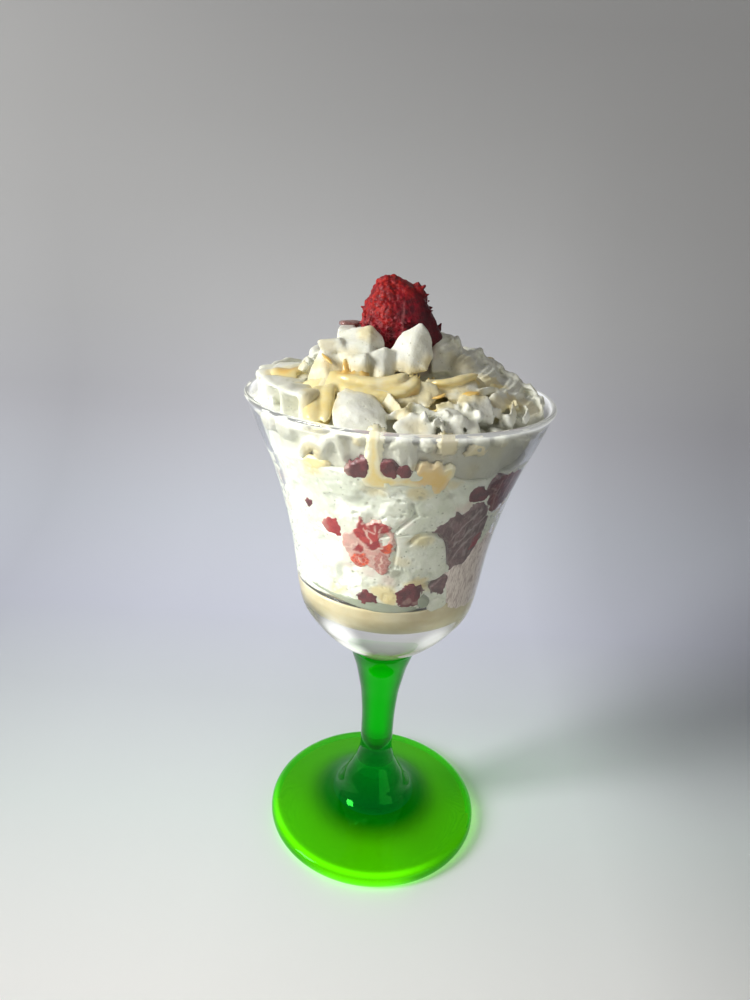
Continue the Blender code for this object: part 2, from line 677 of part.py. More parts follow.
for key in ("strawberry_under_rim_left", "strawberry_under_rim_right",
            "strawberry_under_rim_side", "custard_band", "strawberry_top"):
    cut(cream_top, pockets[key])
for key in ("strawberry_under_rim_left", "strawberry_under_rim_right",
            "strawberry_under_rim_side", "custard_band", "strawberry_right_small",
            "strawberry_right_high", "strawberry_left_bit", "strawberry_left",
            "strawberry_front", "strawberry_right_slice", "strawberry_right_slant"):
    cut(cream_middle, pockets[key])
for key in ("strawberry_front", "strawberry_left", "strawberry_right_slice",
            "strawberry_right_slant", "strawberry_floor_left", "strawberry_floor_right", "strawberry_floor_side"):
    cut(cream_lower, pockets[key])

for ob in (cream_top, cream_middle, cream_lower):
    keep_largest(ob)
    smooth(ob)
for ob in list(CUTTERS.objects):
    bpy.data.objects.remove(ob, do_unlink=True)
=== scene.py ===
# %% [markdown]
# # Strawberries and cream in a footed goblet
# This lesson dresses a imported model of a dessert: a clear glass bowl on a green stem, filled
# with custard, whipped cream and strawberries. The imported model gives the main sizes of the
# glass and the solids that the new pieces replace.
# We model each food with the tool that suits it: turned profiles for the glass, piped ropes
# fused by a voxel remesh for the cream, and height fields for sauce and for whatever is
# pressed flat against the glass.

# %% Load the imported model
import math
import bmesh
import bpy
import numpy as np
from mathutils import Matrix, Vector
from mathutils.bvhtree import BVHTree


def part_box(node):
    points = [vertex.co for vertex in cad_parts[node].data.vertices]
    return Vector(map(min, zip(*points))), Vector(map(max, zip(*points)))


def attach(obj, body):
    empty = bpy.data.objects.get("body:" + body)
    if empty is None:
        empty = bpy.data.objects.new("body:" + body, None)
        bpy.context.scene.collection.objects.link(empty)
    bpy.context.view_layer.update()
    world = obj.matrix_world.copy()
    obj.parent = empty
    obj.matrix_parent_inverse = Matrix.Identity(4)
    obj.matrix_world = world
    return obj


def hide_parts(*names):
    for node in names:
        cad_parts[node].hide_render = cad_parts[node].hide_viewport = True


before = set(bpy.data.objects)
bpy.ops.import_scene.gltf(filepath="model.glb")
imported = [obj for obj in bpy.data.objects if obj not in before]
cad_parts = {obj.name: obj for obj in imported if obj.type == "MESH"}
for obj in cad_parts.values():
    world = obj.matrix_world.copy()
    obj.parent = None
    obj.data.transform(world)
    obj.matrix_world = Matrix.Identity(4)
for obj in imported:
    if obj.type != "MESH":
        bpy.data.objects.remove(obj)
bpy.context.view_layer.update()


MM = 0.001
print("the packed model has", len(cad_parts), "nodes")

# %% [markdown]
# ## The sizes that everything hangs on
# The bowl's outline is a smooth curve through ten radii, from the joint with the stem up to
# the rim. Rim height, rim radius, joint height and foot radius are read from the packed
# nodes; lengths below are in millimetres. The wall is 1.5 mm thick, and the hollow ends in
# a round floor above a thick clear base.

# %% Driving sizes
bowl_low, bowl_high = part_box("goblet_bowl")
_, stem_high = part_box("goblet_stem")
RIM_Z = bowl_high.z / MM
RIM_R = bowl_high.x / MM
JOINT_Z = bowl_low.z / MM
STEM_TOP = stem_high.z / MM
FOOT_R = stem_high.x / MM
JOINT_R = 10.7
WALL = 1.5
CAVITY_Z = 81.6        # floor of the hollow
CAVITY_R = 13.0        # its flat part
CAVITY_END = 90.0      # where its round corner meets the wall
BOWL_SHARES = (0.0, 0.06, 0.13, 0.22, 0.33, 0.46, 0.60, 0.75, 0.88, 1.0)
BOWL_RADII = (JOINT_R, 16.5, 21.5, 25.7, 27.2, 28.6, 31.0, 34.4, 38.6, RIM_R)


def smooth_line(xs, ys):
    """A curve through the points that never overshoots them, for arrays."""
    xs, ys = np.array(xs, float), np.array(ys, float)
    h = np.diff(xs)
    d = np.diff(ys) / h
    m = np.concatenate([[d[0]], np.zeros(len(xs) - 2), [d[-1]]])
    for i in range(1, len(xs) - 1):
        if d[i - 1] * d[i] > 0:
            w1, w2 = 2 * h[i] + h[i - 1], h[i] + 2 * h[i - 1]
            m[i] = (w1 + w2) / (w1 / d[i - 1] + w2 / d[i])

    def value(x):
        x = np.clip(x, xs[0], xs[-1])
        i = np.clip(np.searchsorted(xs, x) - 1, 0, len(h) - 1)
        t = (x - xs[i]) / h[i]
        low = (1 + 2 * t) * (1 - t) ** 2 * ys[i] + t * (1 - t) ** 2 * h[i] * m[i]
        return low + t * t * (3 - 2 * t) * ys[i + 1] + t * t * (t - 1) * h[i] * m[i + 1]

    return value


outer_r = smooth_line([JOINT_Z + s * (RIM_Z - JOINT_Z) for s in BOWL_SHARES], BOWL_RADII)


def inner_r(z):
    """Radius of the bowl's hollow at height z."""
    z = np.asarray(z, float)
    wall = outer_r(z) - WALL
    t = np.clip((z - CAVITY_Z) / (CAVITY_END - CAVITY_Z), 0.0, 1.0)
    low = CAVITY_R + (outer_r(CAVITY_END) - WALL - CAVITY_R) * np.sqrt(1.0 - (1.0 - t) ** 2)
    return np.where(z >= CAVITY_END, wall, np.minimum(wall, low))


def polar(az, r):
    """Point at azimuth az in degrees (0 in front, + to the right) and radius r."""
    a = np.radians(az)
    return r * np.sin(a), -r * np.cos(a)


def at_wall(p):
    """Azimuth in degrees and reach in millimetres of each point."""
    return np.degrees(np.arctan2(p[:, 0], -p[:, 1])), np.hypot(p[:, 0], p[:, 1])


print("rim", round(RIM_R, 1), "mm at", round(RIM_Z, 1), "mm; foot", round(FOOT_R, 1), "mm")

# %% [markdown]
# ## Noise that is the same every time
# Food is never smooth: cream is full of bubbles, berries are knobbly. We make the unevenness
# from two small functions. `soft_noise` gives values from -1 to 1 that swell and sink over a
# given size, and `nearest_seed` gives the distance to the nearest of many scattered points,
# which makes bubbles and knobs. Both hash whole numbers, so nothing is left to chance.

# %% Noise functions
NOISE_START = 100.5      # keeps all cell numbers positive
NO_SEED = 9.0            # stands for "no scattered point near"


def hashed(ix, iy, iz, seed):
    """A repeatable number from 0 to 1 for each whole-numbered place."""
    n = (ix * 73856093) ^ (iy * 19349663) ^ (iz * 83492791) ^ (seed * 40503 + 977)
    n = (n ^ (n >> 13)) * 1274126177
    n = n ^ (n >> 16)
    return (n & 0xFFFFFF) / 0xFFFFFF


def soft_noise(points, size, seed=0):
    """Values from -1 to 1 that change over about size millimetres."""
    q = points / size + NOISE_START
    cell = np.floor(q).astype(np.int64)
    t = q - cell
    t = t * t * (3 - 2 * t)
    total = np.zeros(len(points))
    for corner in np.ndindex(2, 2, 2):
        w = np.prod(np.where(np.array(corner) == 1, t, 1 - t), axis=1)
        total += w * hashed(*(cell + np.array(corner)).T, seed)
    return total * 2 - 1


def nearest_seed(points, size, seed=0, share=1.0):
    """Distance, in sizes, to the nearest scattered point; share keeps some of them."""
    q = points / size + NOISE_START
    cell = np.floor(q).astype(np.int64)
    best = np.full(len(points), NO_SEED)
    for step in np.ndindex(3, 3, 3):
        c = cell + np.array(step) - 1
        spot = c + np.stack([hashed(*c.T, seed + k) for k in (11, 12, 13)], axis=1)
        gap = np.linalg.norm(q - spot, axis=1)
        gap[hashed(*c.T, seed + 14) > share] = NO_SEED
        best = np.minimum(best, gap)
    return best


def step_up(low, high, x):
    """0 below low, 1 above high, smooth between."""
    t = np.clip((x - low) / (high - low), 0.0, 1.0)
    return t * t * (3 - 2 * t)


def step_down(low, high, x):
    """1 below low, 0 above high, smooth between."""
    return 1 - step_up(low, high, x)


print("noise at the origin:", round(float(soft_noise(np.zeros((1, 3)), 5.0)[0]), 3))

# %% [markdown]
# ## From arrays to meshes
# Blender wants a list of points and a list of faces. These helpers take numpy arrays in
# millimetres and give a mesh object in metres. `closed_skin` turns rings of points into a
# closed body, and `slab` turns any patch of a grid into a closed piece with a front, a back
# and a side all round, however ragged the patch is.

# %% Mesh helpers
def placed(name, data):
    """A new object in the scene for a mesh, a camera or a light."""
    ob = bpy.data.objects.new(name, data)
    bpy.context.scene.collection.objects.link(ob)
    return ob


def new_piece(name, points, faces, mat=None):
    """A mesh object from millimetre points and faces, with its faces pointing out."""
    me = bpy.data.meshes.new(name)
    me.from_pydata((np.asarray(points) * MM).tolist(), [], [list(f) for f in faces])
    bm = bmesh.new()
    bm.from_mesh(me)
    bmesh.ops.recalc_face_normals(bm, faces=bm.faces)
    if bm.calc_volume(signed=True) < 0:
        bmesh.ops.reverse_faces(bm, faces=bm.faces)
    bm.to_mesh(me)
    bm.free()
    if mat:
        me.materials.append(mat)
    me.shade_smooth()
    return placed(name, me)


def closed_skin(name, rings, mat=None):
    """Rings of points, shape (rows, columns, 3), joined into a body with closed ends."""
    rings = np.array(rings)
    rows, cols = rings.shape[:2]
    points = np.concatenate([rings.reshape(-1, 3), [rings[0].mean(0), rings[-1].mean(0)]])
    k = np.arange(cols)
    nxt = (k + 1) % cols
    faces = []
    for i in range(rows - 1):
        a, b = i * cols, (i + 1) * cols
        faces += np.stack([a + k, a + nxt, b + nxt, b + k], axis=1).tolist()
    faces += np.stack([nxt, k, np.full(cols, rows * cols)], axis=1).tolist()
    last = (rows - 1) * cols
    faces += np.stack([last + k, last + nxt, np.full(cols, rows * cols + 1)], axis=1).tolist()
    return new_piece(name, points, faces, mat)


def whole_cells(kept):
    """Cells of a grid whose four corners are all kept."""
    return kept[:-1, :-1] & kept[1:, :-1] & kept[:-1, 1:] & kept[1:, 1:]


def slab(name, front, back, kept, mat=None):
    """A closed piece over the kept points of a grid: front and back are (rows, cols, 3)."""
    rows, cols = front.shape[:2]
    number = np.arange(rows * cols).reshape(rows, cols)
    ii, jj = np.nonzero(whole_cells(kept))
    quads = np.stack([number[ii, jj], number[ii, jj + 1], number[ii + 1, jj + 1],
                      number[ii + 1, jj]], axis=1)
    half = rows * cols
    edges = {}
    for quad in quads.tolist():
        for a, b in zip(quad, quad[1:] + quad[:1]):
            if (b, a) in edges:
                del edges[(b, a)]
            else:
                edges[(a, b)] = True
    sides = [(b, a, a + half, b + half) for a, b in edges]
    faces = quads.tolist() + (quads[:, ::-1] + half).tolist() + sides
    points = np.concatenate([front.reshape(-1, 3), back.reshape(-1, 3)])
    used = np.unique(np.array([v for f in faces for v in f]))
    renumber = np.zeros(len(points), int)
    renumber[used] = np.arange(len(used))
    return new_piece(name, points[used], [renumber[list(f)].tolist() for f in faces], mat)


def places(ob):
    """An object's points in millimetres."""
    co = np.empty(len(ob.data.vertices) * 3)
    ob.data.vertices.foreach_get("co", co)
    return co.reshape(-1, 3) / MM


def set_places(ob, points):
    """Moves an object's points to these places in millimetres."""
    ob.data.vertices.foreach_set("co", (points * MM).ravel())
    ob.data.update()


def directions(ob):
    """The outward direction at each point."""
    co = np.empty(len(ob.data.vertices) * 3)
    ob.data.vertex_normals.foreach_get("vector", co)
    return co.reshape(-1, 3)


def tint_masks(ob, **masks):
    """Stores named numbers from 0 to 1 at each point, for the material to read."""
    for name, values in masks.items():
        layer = ob.data.attributes.new(name, "FLOAT", "POINT")
        layer.data.foreach_set("value", np.clip(values, 0, 1).astype(np.float32))


def modified(ob, kind, **settings):
    """Adds one modifier with its settings and bakes it into the mesh."""
    made = ob.modifiers.new(kind.lower(), kind)
    for key, value in settings.items():
        setattr(made, key, value)
    graph = bpy.context.evaluated_depsgraph_get()
    graph.update()
    me = bpy.data.meshes.new_from_object(ob.evaluated_get(graph))
    ob.modifiers.clear()
    ob.data = me


def fused(name, pieces, voxel, mat):
    """One object with one even skin round all the pieces, voxel millimetres fine."""
    bm = bmesh.new()
    for ob in pieces:
        bm.from_mesh(ob.data)
    me = bpy.data.meshes.new(name)
    bm.to_mesh(me)
    bm.free()
    for ob in pieces:
        bpy.data.objects.remove(ob, do_unlink=True)
    ob = placed(name, me)
    modified(ob, 'REMESH', mode='VOXEL', voxel_size=voxel * MM)
    ob.data.shade_smooth()
    set_finish(ob, mat)
    return ob


def set_finish(ob, mat):
    """Gives an object one material."""
    ob.data.materials.clear()
    ob.data.materials.append(mat)


def belongs(ob, slot, *nodes):
    """Hangs a finished piece on the root body and hides the solids it replaces; slot is not used."""
    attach(ob, "root")
    if nodes:
        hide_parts(*nodes)
    print(ob.name, "has", len(ob.data.vertices), "points")
    return ob

# %% [markdown]
# ## Short words for shader nodes
# Materials are networks of nodes. A few helpers keep their recipes readable: `node` adds any
# node and links or fills its inputs, and the others stand for the nodes that every recipe
# uses, such as a product, a mixed colour, a noise or a mask that the mesh carries.

# %% Shader helpers
def node(tree, kind, inputs=None, **settings):
    """Adds a shader node; inputs are plain values or sockets to link."""
    made = tree.nodes.new("ShaderNode" + kind)
    for key, value in settings.items():
        setattr(made, key, value)
    for key, value in (inputs or {}).items():
        if isinstance(value, bpy.types.NodeSocket):
            tree.links.new(value, made.inputs[key])
        else:
            made.inputs[key].default_value = value
    return made


def maths(tree, how, a, b):
    """The result of one operation on two values or sockets."""
    return node(tree, "Math", {0: a, 1: b}, operation=how).outputs[0]


def times(tree, a, b):
    """Product of two values or sockets."""
    return maths(tree, 'MULTIPLY', a, b)


def plus(tree, a, b):
    """Sum of two values or sockets."""
    return maths(tree, 'ADD', a, b)


def ranged(tree, value, low, high, start=0.0, end=1.0):
    """Start where value is low, end where it is high, and even between."""
    return node(tree, "MapRange", {0: value, 1: low, 2: high, 3: start, 4: end}).outputs[0]


def mixed(tree, mask, below, above, blend='MIX'):
    """Colour above where mask is 1, colour below elsewhere."""
    inputs = {0: mask, 6: below, 7: above}
    for key in (6, 7):
        if not isinstance(inputs[key], bpy.types.NodeSocket):
            inputs[key] = (*inputs[key], 1.0)
    return node(tree, "Mix", inputs, data_type='RGBA', blend_type=blend).outputs[2]


def mask_of(tree, name):
    """A mask that the mesh carries."""
    return node(tree, "Attribute", attribute_name=name).outputs["Fac"]


def object_place(tree):
    """The place on the object, in metres."""
    return node(tree, "TexCoord").outputs["Object"]


def clouds(tree, where, scale, detail, sharpness=0.5):
    """Noise from 0 to 1."""
    return node(tree, "TexNoise", {"Vector": where, "Scale": scale, "Detail": detail,
                                   "Roughness": sharpness}).outputs[0]


def drawn_out(tree, stretch, detail, sharpness=0.5):
    """Noise drawn out into upright streaks; stretch is its scale along X, Y and Z."""
    where = node(tree, "VectorMath", {0: object_place(tree), 1: stretch}, operation='MULTIPLY')
    return clouds(tree, where.outputs[0], 1.0, detail, sharpness)


def new_material(name, rough, **sockets):
    """A new material, its tree and its shader, with plain values set on the shader."""
    mat = bpy.data.materials.new(name)
    mat.use_nodes = True
    shader = mat.node_tree.nodes["Principled BSDF"]
    shader.inputs["Roughness"].default_value = rough
    for key, value in sockets.items():
        shader.inputs[key.replace("_", " ")].default_value = value
    return mat, mat.node_tree, shader


def dress(shader, height, strength, depth=0.0003, colour=None):
    """Links a bump, depth metres deep, and a colour to the shader."""
    tree = shader.id_data
    bump = node(tree, "Bump", {"Height": height, "Strength": strength, "Distance": depth})
    tree.links.new(bump.outputs[0], shader.inputs["Normal"])
    if colour is not None:
        tree.links.new(colour, shader.inputs["Base Color"])


print("shader helpers are ready")

# %% [markdown]
# ## Camera, room and light
# The dessert stands before a pale curved backdrop, lit by one large window on the left and
# a little in front. Cream under such light is nearly white on the window side and grey-brown
# on the other, so the fill stays weak. The camera looks down at the glass, close to it, which
# makes the bowl look wide and the foot small.

# %% Camera
CAMERA_PLACE = Vector((0.0, -0.1953, 0.1891))
CAMERA_TURNS = (-1.51, 21.33, 3.42)       # yaw, pitch and roll in degrees
LENS = 26.14                              # focal length and
SENSOR_WIDTH = 36.0                       # width of the picture behind it, in millimetres


def look_camera():
    """The camera, from its place and its three angles."""
    yaw, pitch, roll = (math.radians(v) for v in CAMERA_TURNS)
    forward = Vector((math.sin(yaw) * math.cos(pitch), math.cos(yaw) * math.cos(pitch),
                      -math.sin(pitch)))
    right = forward.cross(Vector((0, 0, 1))).normalized()
    up = right.cross(forward)
    x = right * math.cos(roll) + up * math.sin(roll)
    y = up * math.cos(roll) - right * math.sin(roll)
    data = bpy.data.cameras.new("camera")
    data.lens = LENS
    data.sensor_width = SENSOR_WIDTH
    data.clip_start = 0.01
    cam = placed("camera", data)
    turned_to = Matrix((x, y, -forward)).transposed().to_4x4()
    cam.matrix_world = Matrix.Translation(CAMERA_PLACE) @ turned_to
    bpy.context.scene.camera = cam


look_camera()

# %% Backdrop
SWEEP_START = 0.115
SWEEP_RADIUS = 0.13
SWEEP_STEPS = 24
ROOM_HALF = 1.6
# paper colour with painted light: brightest on the near floor, darker over the sweep and up the wall; share
# of the way, colour
PAPER_TONES_WITH_PAINTED_LIGHT = (
    (0.0, (0.99, 1.0, 1.0)), (0.105, (0.88, 0.955, 0.965)), (0.21, (0.79, 0.845, 0.91)),
    (0.32, (0.79, 0.825, 0.97)), (0.48, (0.66, 0.695, 0.79)), (0.625, (0.545, 0.552, 0.61)),
    (0.745, (0.50, 0.502, 0.518)), (0.84, (0.405, 0.405, 0.413)), (0.92, (0.34, 0.34, 0.345)),
    (1.0, (0.29, 0.29, 0.295)))
# painted shade from left to right, over 0.4 m: darker towards both sides
PAINTED_SIDE_SHADE = ((0.0, 0.62), (0.22, 0.84), (0.38, 0.95), (0.56, 1), (0.68, 0.99), (0.80, 0.80), (1.0, 0.65))


def tone_ramp(tree, where, tones):
    """Colour along a value from 0 to 1, through tones of (place, colour)."""
    made = node(tree, "ValToRGB", {0: where})
    stops = made.color_ramp.elements
    stops[0].position, stops[-1].position = tones[0][0], tones[-1][0]
    stops[0].color, stops[-1].color = (*tones[0][1], 1.0), (*tones[-1][1], 1.0)
    for place, tone in tones[1:-1]:
        stops.new(place).color = (*tone, 1.0)
    return made.outputs[0]


def paper_material():
    """Pale paper with painted light and shade: brighter near the window, darker up the wall and towards both
    sides, with a fine grain.
    """
    mat, tree, shader = new_material("pale_paper", 0.75)
    where = object_place(tree)
    split = node(tree, "SeparateXYZ", {0: where})
    share = ranged(tree, plus(tree, split.outputs["Y"], split.outputs["Z"]), -0.07, 0.53)
    across = ranged(tree, split.outputs["X"], -0.2, 0.2)
    painted_side_greys = [(at, (grey, grey, grey)) for at, grey in PAINTED_SIDE_SHADE]
    sides = mixed(tree, ranged(tree, share, 0.65, 1.0), tone_ramp(tree, across, painted_side_greys), (1, 1, 1))
    paper = mixed(tree, 1.0, tone_ramp(tree, share, PAPER_TONES_WITH_PAINTED_LIGHT), sides, 'MULTIPLY')
    dress(shader, clouds(tree, where, 900.0, 4.0), 0.08, 0.0002, paper)
    return mat


def backdrop():
    """Floor and wall in one sheet, with a round sweep between them."""
    line = [(-ROOM_HALF, 0.0), (SWEEP_START, 0.0)]
    for k in range(1, SWEEP_STEPS + 1):
        a = math.radians(90.0 * k / SWEEP_STEPS)
        line.append((SWEEP_START + SWEEP_RADIUS * math.sin(a), SWEEP_RADIUS * (1 - math.cos(a))))
    line.append((SWEEP_START + SWEEP_RADIUS, ROOM_HALF))
    points = [(side * ROOM_HALF, y, z) for side in (-1, 1) for y, z in line]
    n = len(line)
    me = bpy.data.meshes.new("backdrop")
    me.from_pydata(points, [], [(i, i + 1, n + i + 1, n + i) for i in range(n - 1)])
    me.shade_smooth()
    me.materials.append(paper_material())
    placed("backdrop", me)


backdrop()
print("backdrop made")

# %% Room and light
def area_light(name, az, height, distance, size, watts, colour, aim=(0, 0, 0.10)):
    """A rectangle of light at azimuth az, height degrees up, facing the dessert."""
    data = bpy.data.lights.new(name, 'AREA')
    data.shape = 'RECTANGLE'
    data.size, data.size_y = size
    data.energy = watts
    data.color = colour
    up, turn = math.radians(height), math.radians(az)
    way = Vector((math.sin(turn) * math.cos(up), -math.cos(turn) * math.cos(up), math.sin(up)))
    ob = placed(name, data)
    ob.location = Vector(aim) + way * distance
    ob.rotation_euler = way.to_track_quat('Z', 'Y').to_euler()


def room_air(fill, glints):
    """The room's own light: weak on the food, brighter where glass and wet skins mirror it."""
    world = bpy.data.worlds.new("room")
    bpy.context.scene.world = world
    world.use_nodes = True
    tree = world.node_tree
    path = node(tree, "LightPath").outputs
    shiny = maths(tree, 'MAXIMUM', path["Is Glossy Ray"], path["Is Transmission Ray"])
    first = maths(tree, 'LESS_THAN', path["Diffuse Depth"], 0.5)
    air = tree.nodes["Background"]
    air.inputs[0].default_value = (0.92, 0.88, 0.83, 1.0)
    tree.links.new(ranged(tree, times(tree, shiny, first), 0.0, 1.0, fill, glints), air.inputs[1])


area_light("window_light", -66.0, 26.0, 1.05, (0.34, 0.44), 12.6, (1.0, 0.99, 0.96))
area_light("room_light", 42.0, 4.0, 1.3, (0.9, 0.5), 2.2, (1.0, 0.97, 0.92))
room_air(0.15, 0.5)
bpy.context.scene.view_settings.view_transform = 'Standard'
print("camera, backdrop and lights are set")

# %% [markdown]
# ## Glass
# Glass bends light, so it needs true thickness: a turned profile that goes up the inside,
# over the rim and down the outside. Under the hollow the base is solid and clear. Its flat
# underside keeps a hair of air above the green stem, and that air mirrors: seen from above,
# the green doesn't show through the base, as in the real goblet. Shadow rays pass straight
# through, which is how light reaches the food without waiting for caustics. The light that
# thick glass gathers at its edges would need caustics too, so it is painted in as a glow by a
# mask on the mesh; the same mask paints a pale rim and reflections of the window on the clear
# base. A second mask, "thick", darkens green glass where it is thick, and adds painted shade
# on the stem's sides.

# %% Glass materials
def glass_material(name, tint, shadow_tint, glow, thick_and_shaded_tint=None, glint=(1, 1, 1)):
    """Clear or coloured glass, with the tint of its shadow.

    glow is the colour of a painted glow where the mesh carries its mask, the dark tint its
    colour where the mesh carries the mask "thick" (thick glass, and painted shade), and glint
    the colour of its shine.
    """
    mat, tree, shader = new_material(name, 0.0, Base_Color=(*tint, 1), IOR=1.5, Transmission_Weight=1.0,
                                     Specular_Tint=(*glint, 1), Emission_Strength=1.0)
    tone = mixed(tree, mask_of(tree, "thick"), tint, thick_and_shaded_tint) if thick_and_shaded_tint else None
    dress(shader, clouds(tree, object_place(tree), 55.0, 1.0), 0.12, 0.0004, tone)
    # painted glow: emission standing in for caustics, a pale rim and reflections of the window
    lit = mixed(tree, mask_of(tree, "gathered"), (0, 0, 0), glow)
    tree.links.new(lit, shader.inputs["Emission Color"])
    clear = node(tree, "BsdfTransparent", {0: (*shadow_tint, 1)}).outputs[0]
    shadow = node(tree, "LightPath").outputs["Is Shadow Ray"]
    mix = node(tree, "MixShader", {0: shadow, 1: shader.outputs[0], 2: clear})
    tree.links.new(mix.outputs[0], tree.nodes["Material Output"].inputs["Surface"])
    return mat


# the third colour of each glass is its painted glow; the fourth, on green glass, its tint where thick and
# where painted shade falls
CLEAR_GLASS = glass_material("clear_glass_finish", (0.97, 0.975, 0.97), (0.95, 0.95, 0.95),
                             (0.75, 0.76, 0.74))
FOOT_GLASS = glass_material("green_glass_foot", (0.05, 0.44, 0.0), (0.60, 0.69, 0.56),
                            (0.15, 0.90, 0.0), (0.0, 0.16, 0.0), (0.06, 1.0, 0.1))
STEM_GLASS = glass_material("green_glass_stem", (0.0, 0.36, 0.002), (0.5, 0.56, 0.5),
                            (0.0, 0.22, 0.0), (0.0, 0.19, 0.004), (0.03, 1.0, 0.06))
print("glass materials:", CLEAR_GLASS.name, FOOT_GLASS.name, STEM_GLASS.name)

# %% Bowl, stem and foot
RIM_ROUND = 0.7          # half the height of the round rim
FOOT_EDGE_R = 2.1        # round edge of the foot: half its width
FOOT_EDGE_H = 2.3        # and half its height
STEM_Z = (STEM_TOP, 62.0, 57.8, 52.5, 47.1, 36.4, 27.3, 22.5, 18.6, 15.0, 11.5, 9.0, 7.3)
STEM_R = (10.5, 9.4, 8.05, 6.9, 5.95, 5.25, 5.2, 6.1, 7.7, 9.6, 11.2, 13.2, 17.0)
FOOT_RADII = (15.0, 17.0, 20.0, 24.0, 28.0, 31.4, 32.6)
FOOT_HEIGHTS = (8.1, 7.3, 6.35, 5.7, 5.25, 4.9, 4.75)


def turned(name, profile, mat, steps=160):
    """A profile of (radius, height) spun about the axis by a Screw modifier."""
    me = bpy.data.meshes.new(name)
    points = [(r * MM, 0.0, z * MM) for r, z in profile]
    me.from_pydata(points, [(i, i + 1) for i in range(len(points) - 1)], [])
    ob = placed(name, me)
    modified(ob, 'SCREW', angle=math.tau, steps=steps, render_steps=steps, use_merge_vertices=True,
             merge_threshold=0.000002, use_smooth_shade=True)
    ob.data.shade_smooth()
    set_finish(ob, mat)
    return ob


def bowl_profile():
    """Up the hollow from the axis, round the rim, down the outside, back to the axis."""
    line = [(0.0, CAVITY_Z), (CAVITY_R * 0.5, CAVITY_Z + 0.05), (CAVITY_R * 0.8, CAVITY_Z + 0.15)]
    line += [(float(inner_r(z)), z) for z in CAVITY_Z + 11.5 * np.linspace(0.12, 1, 14) ** 2]
    line += [(float(inner_r(z)), z) for z in np.linspace(91.5, RIM_Z - 0.9, 34)]
    for deg in range(150, -31, -20):
        a = math.radians(deg)
        line.append((RIM_R - WALL / 2 + WALL / 2 * math.cos(a), RIM_Z - RIM_ROUND + RIM_ROUND * math.sin(a)))
    line += [(float(outer_r(z)), z) for z in np.linspace(RIM_Z - 2.0, JOINT_Z + 0.35, 60)]
    line += [(JOINT_R + 0.1, JOINT_Z + 0.1), (JOINT_R - 0.2, JOINT_Z), (0.0, JOINT_Z)]
    return line


def stem_profile():
    """Down the stem, over the dome and the foot, round its edge and back underneath."""
    stem_r = smooth_line(STEM_Z[::-1], STEM_R[::-1])
    line = [(0.0, STEM_TOP), (STEM_R[0] - 0.3, STEM_TOP), (STEM_R[0], STEM_TOP - 0.3)]
    line += [(float(stem_r(z)), z) for z in np.linspace(STEM_TOP - 0.6, 8.0, 70)]
    foot_z = smooth_line(FOOT_RADII, FOOT_HEIGHTS)
    line += [(r, float(foot_z(r))) for r in np.linspace(15.8, 32.4, 26)]
    for deg in range(70, -81, -15):
        a = math.radians(deg)
        line.append((FOOT_R - FOOT_EDGE_R + FOOT_EDGE_R * math.cos(a),
                     FOOT_EDGE_H + FOOT_EDGE_H * math.sin(a)))
    line += [(FOOT_R - 2.6, 0.0), (FOOT_R - 6.0, 0.0), (0.0, 0.0)]
    return line


bowl_glass = belongs(turned("goblet_bowl_glass", bowl_profile(), CLEAR_GLASS), "clear_glass",
                     "goblet_bowl")
stem_glass = belongs(turned("goblet_stem_glass", stem_profile(), FOOT_GLASS), "green_glass",
                     "goblet_stem")
DOME_Z = 9.0             # the stem's finish starts here
stem_glass.data.materials.append(STEM_GLASS)
for face in stem_glass.data.polygons:
    face.material_index = int(face.center.z > DOME_Z * MM)

# %% Light gathered in the glass
def near_spots(p, spots, inner, beyond=0.0, blur=0.0):
    """A mask round spots of (x, y, z, radius, strength) in millimetres.

    It is at its full strength up to inner times the radius and fades out beyond mm past it.
    """
    mask = np.zeros(len(p))
    for x, y, z, radius, strength in spots:
        gap = np.linalg.norm(p - (x, y, z), axis=1) + blur
        mask = np.maximum(mask, strength * step_down(radius * inner, radius + beyond, gap))
    return mask


def green_masks(p):
    """Painted glow of the green glass, and where it is darker: thick glass, and painted shade on the stem's
    sides.
    """
    az, r = at_wall(p)
    # painted glow, brightest on the front-left towards the window: a ring and an edge on the foot, and the
    # front of the stem
    front_left = step_up(-110, -60, az) * step_down(10, 50, az)
    lit = (0.09 + 0.05 * front_left) * step_up(15, 25, r) * step_down(32.5, 34, r)
    ring = (0.10 + 0.75 * front_left) * np.exp(-((r - 32.8) / 1.0) ** 2)
    edge = 0.75 * step_up(32.8, 34.4, r) * step_up(-48, -14, az) * step_down(8, 34, az)
    glow = np.maximum(np.maximum(lit, ring), edge) * (p[:, 2] < DOME_Z)
    middle = step_down(15, 55, np.abs(az))
    glow = np.maximum(glow, middle * step_up(28, 38, p[:, 2]) * step_down(58, 67, p[:, 2]))
    thick = np.maximum(step_down(16, 24, r), step_up(33.4, 34.6, r) * (1 - edge)) * (p[:, 2] < 30.0)
    # thick at the dome and the foot's edge; the stem's sides and back are darkened as painted shade
    return glow, np.maximum(thick, 0.7 * step_up(40, 80, np.abs(az)) * (p[:, 2] > 20.0))


glow, thick = green_masks(places(stem_glass))
tint_masks(stem_glass, gathered=glow, thick=thick)
at = places(bowl_glass)
# painted reflections of the window on the clear base, and a painted pale rim
painted_window_reflections = near_spots(at, ((-13, -22, 80, 8, 1.0), (-9, -18, 74, 7, 0.9), (14, -20, 79, 7, 0.45)), 0.3)
tint_masks(bowl_glass, gathered=np.maximum(0.3 * step_up(RIM_Z - 2.2, RIM_Z - 1.2, at[:, 2]), painted_window_reflections))
print("glass masks are set")

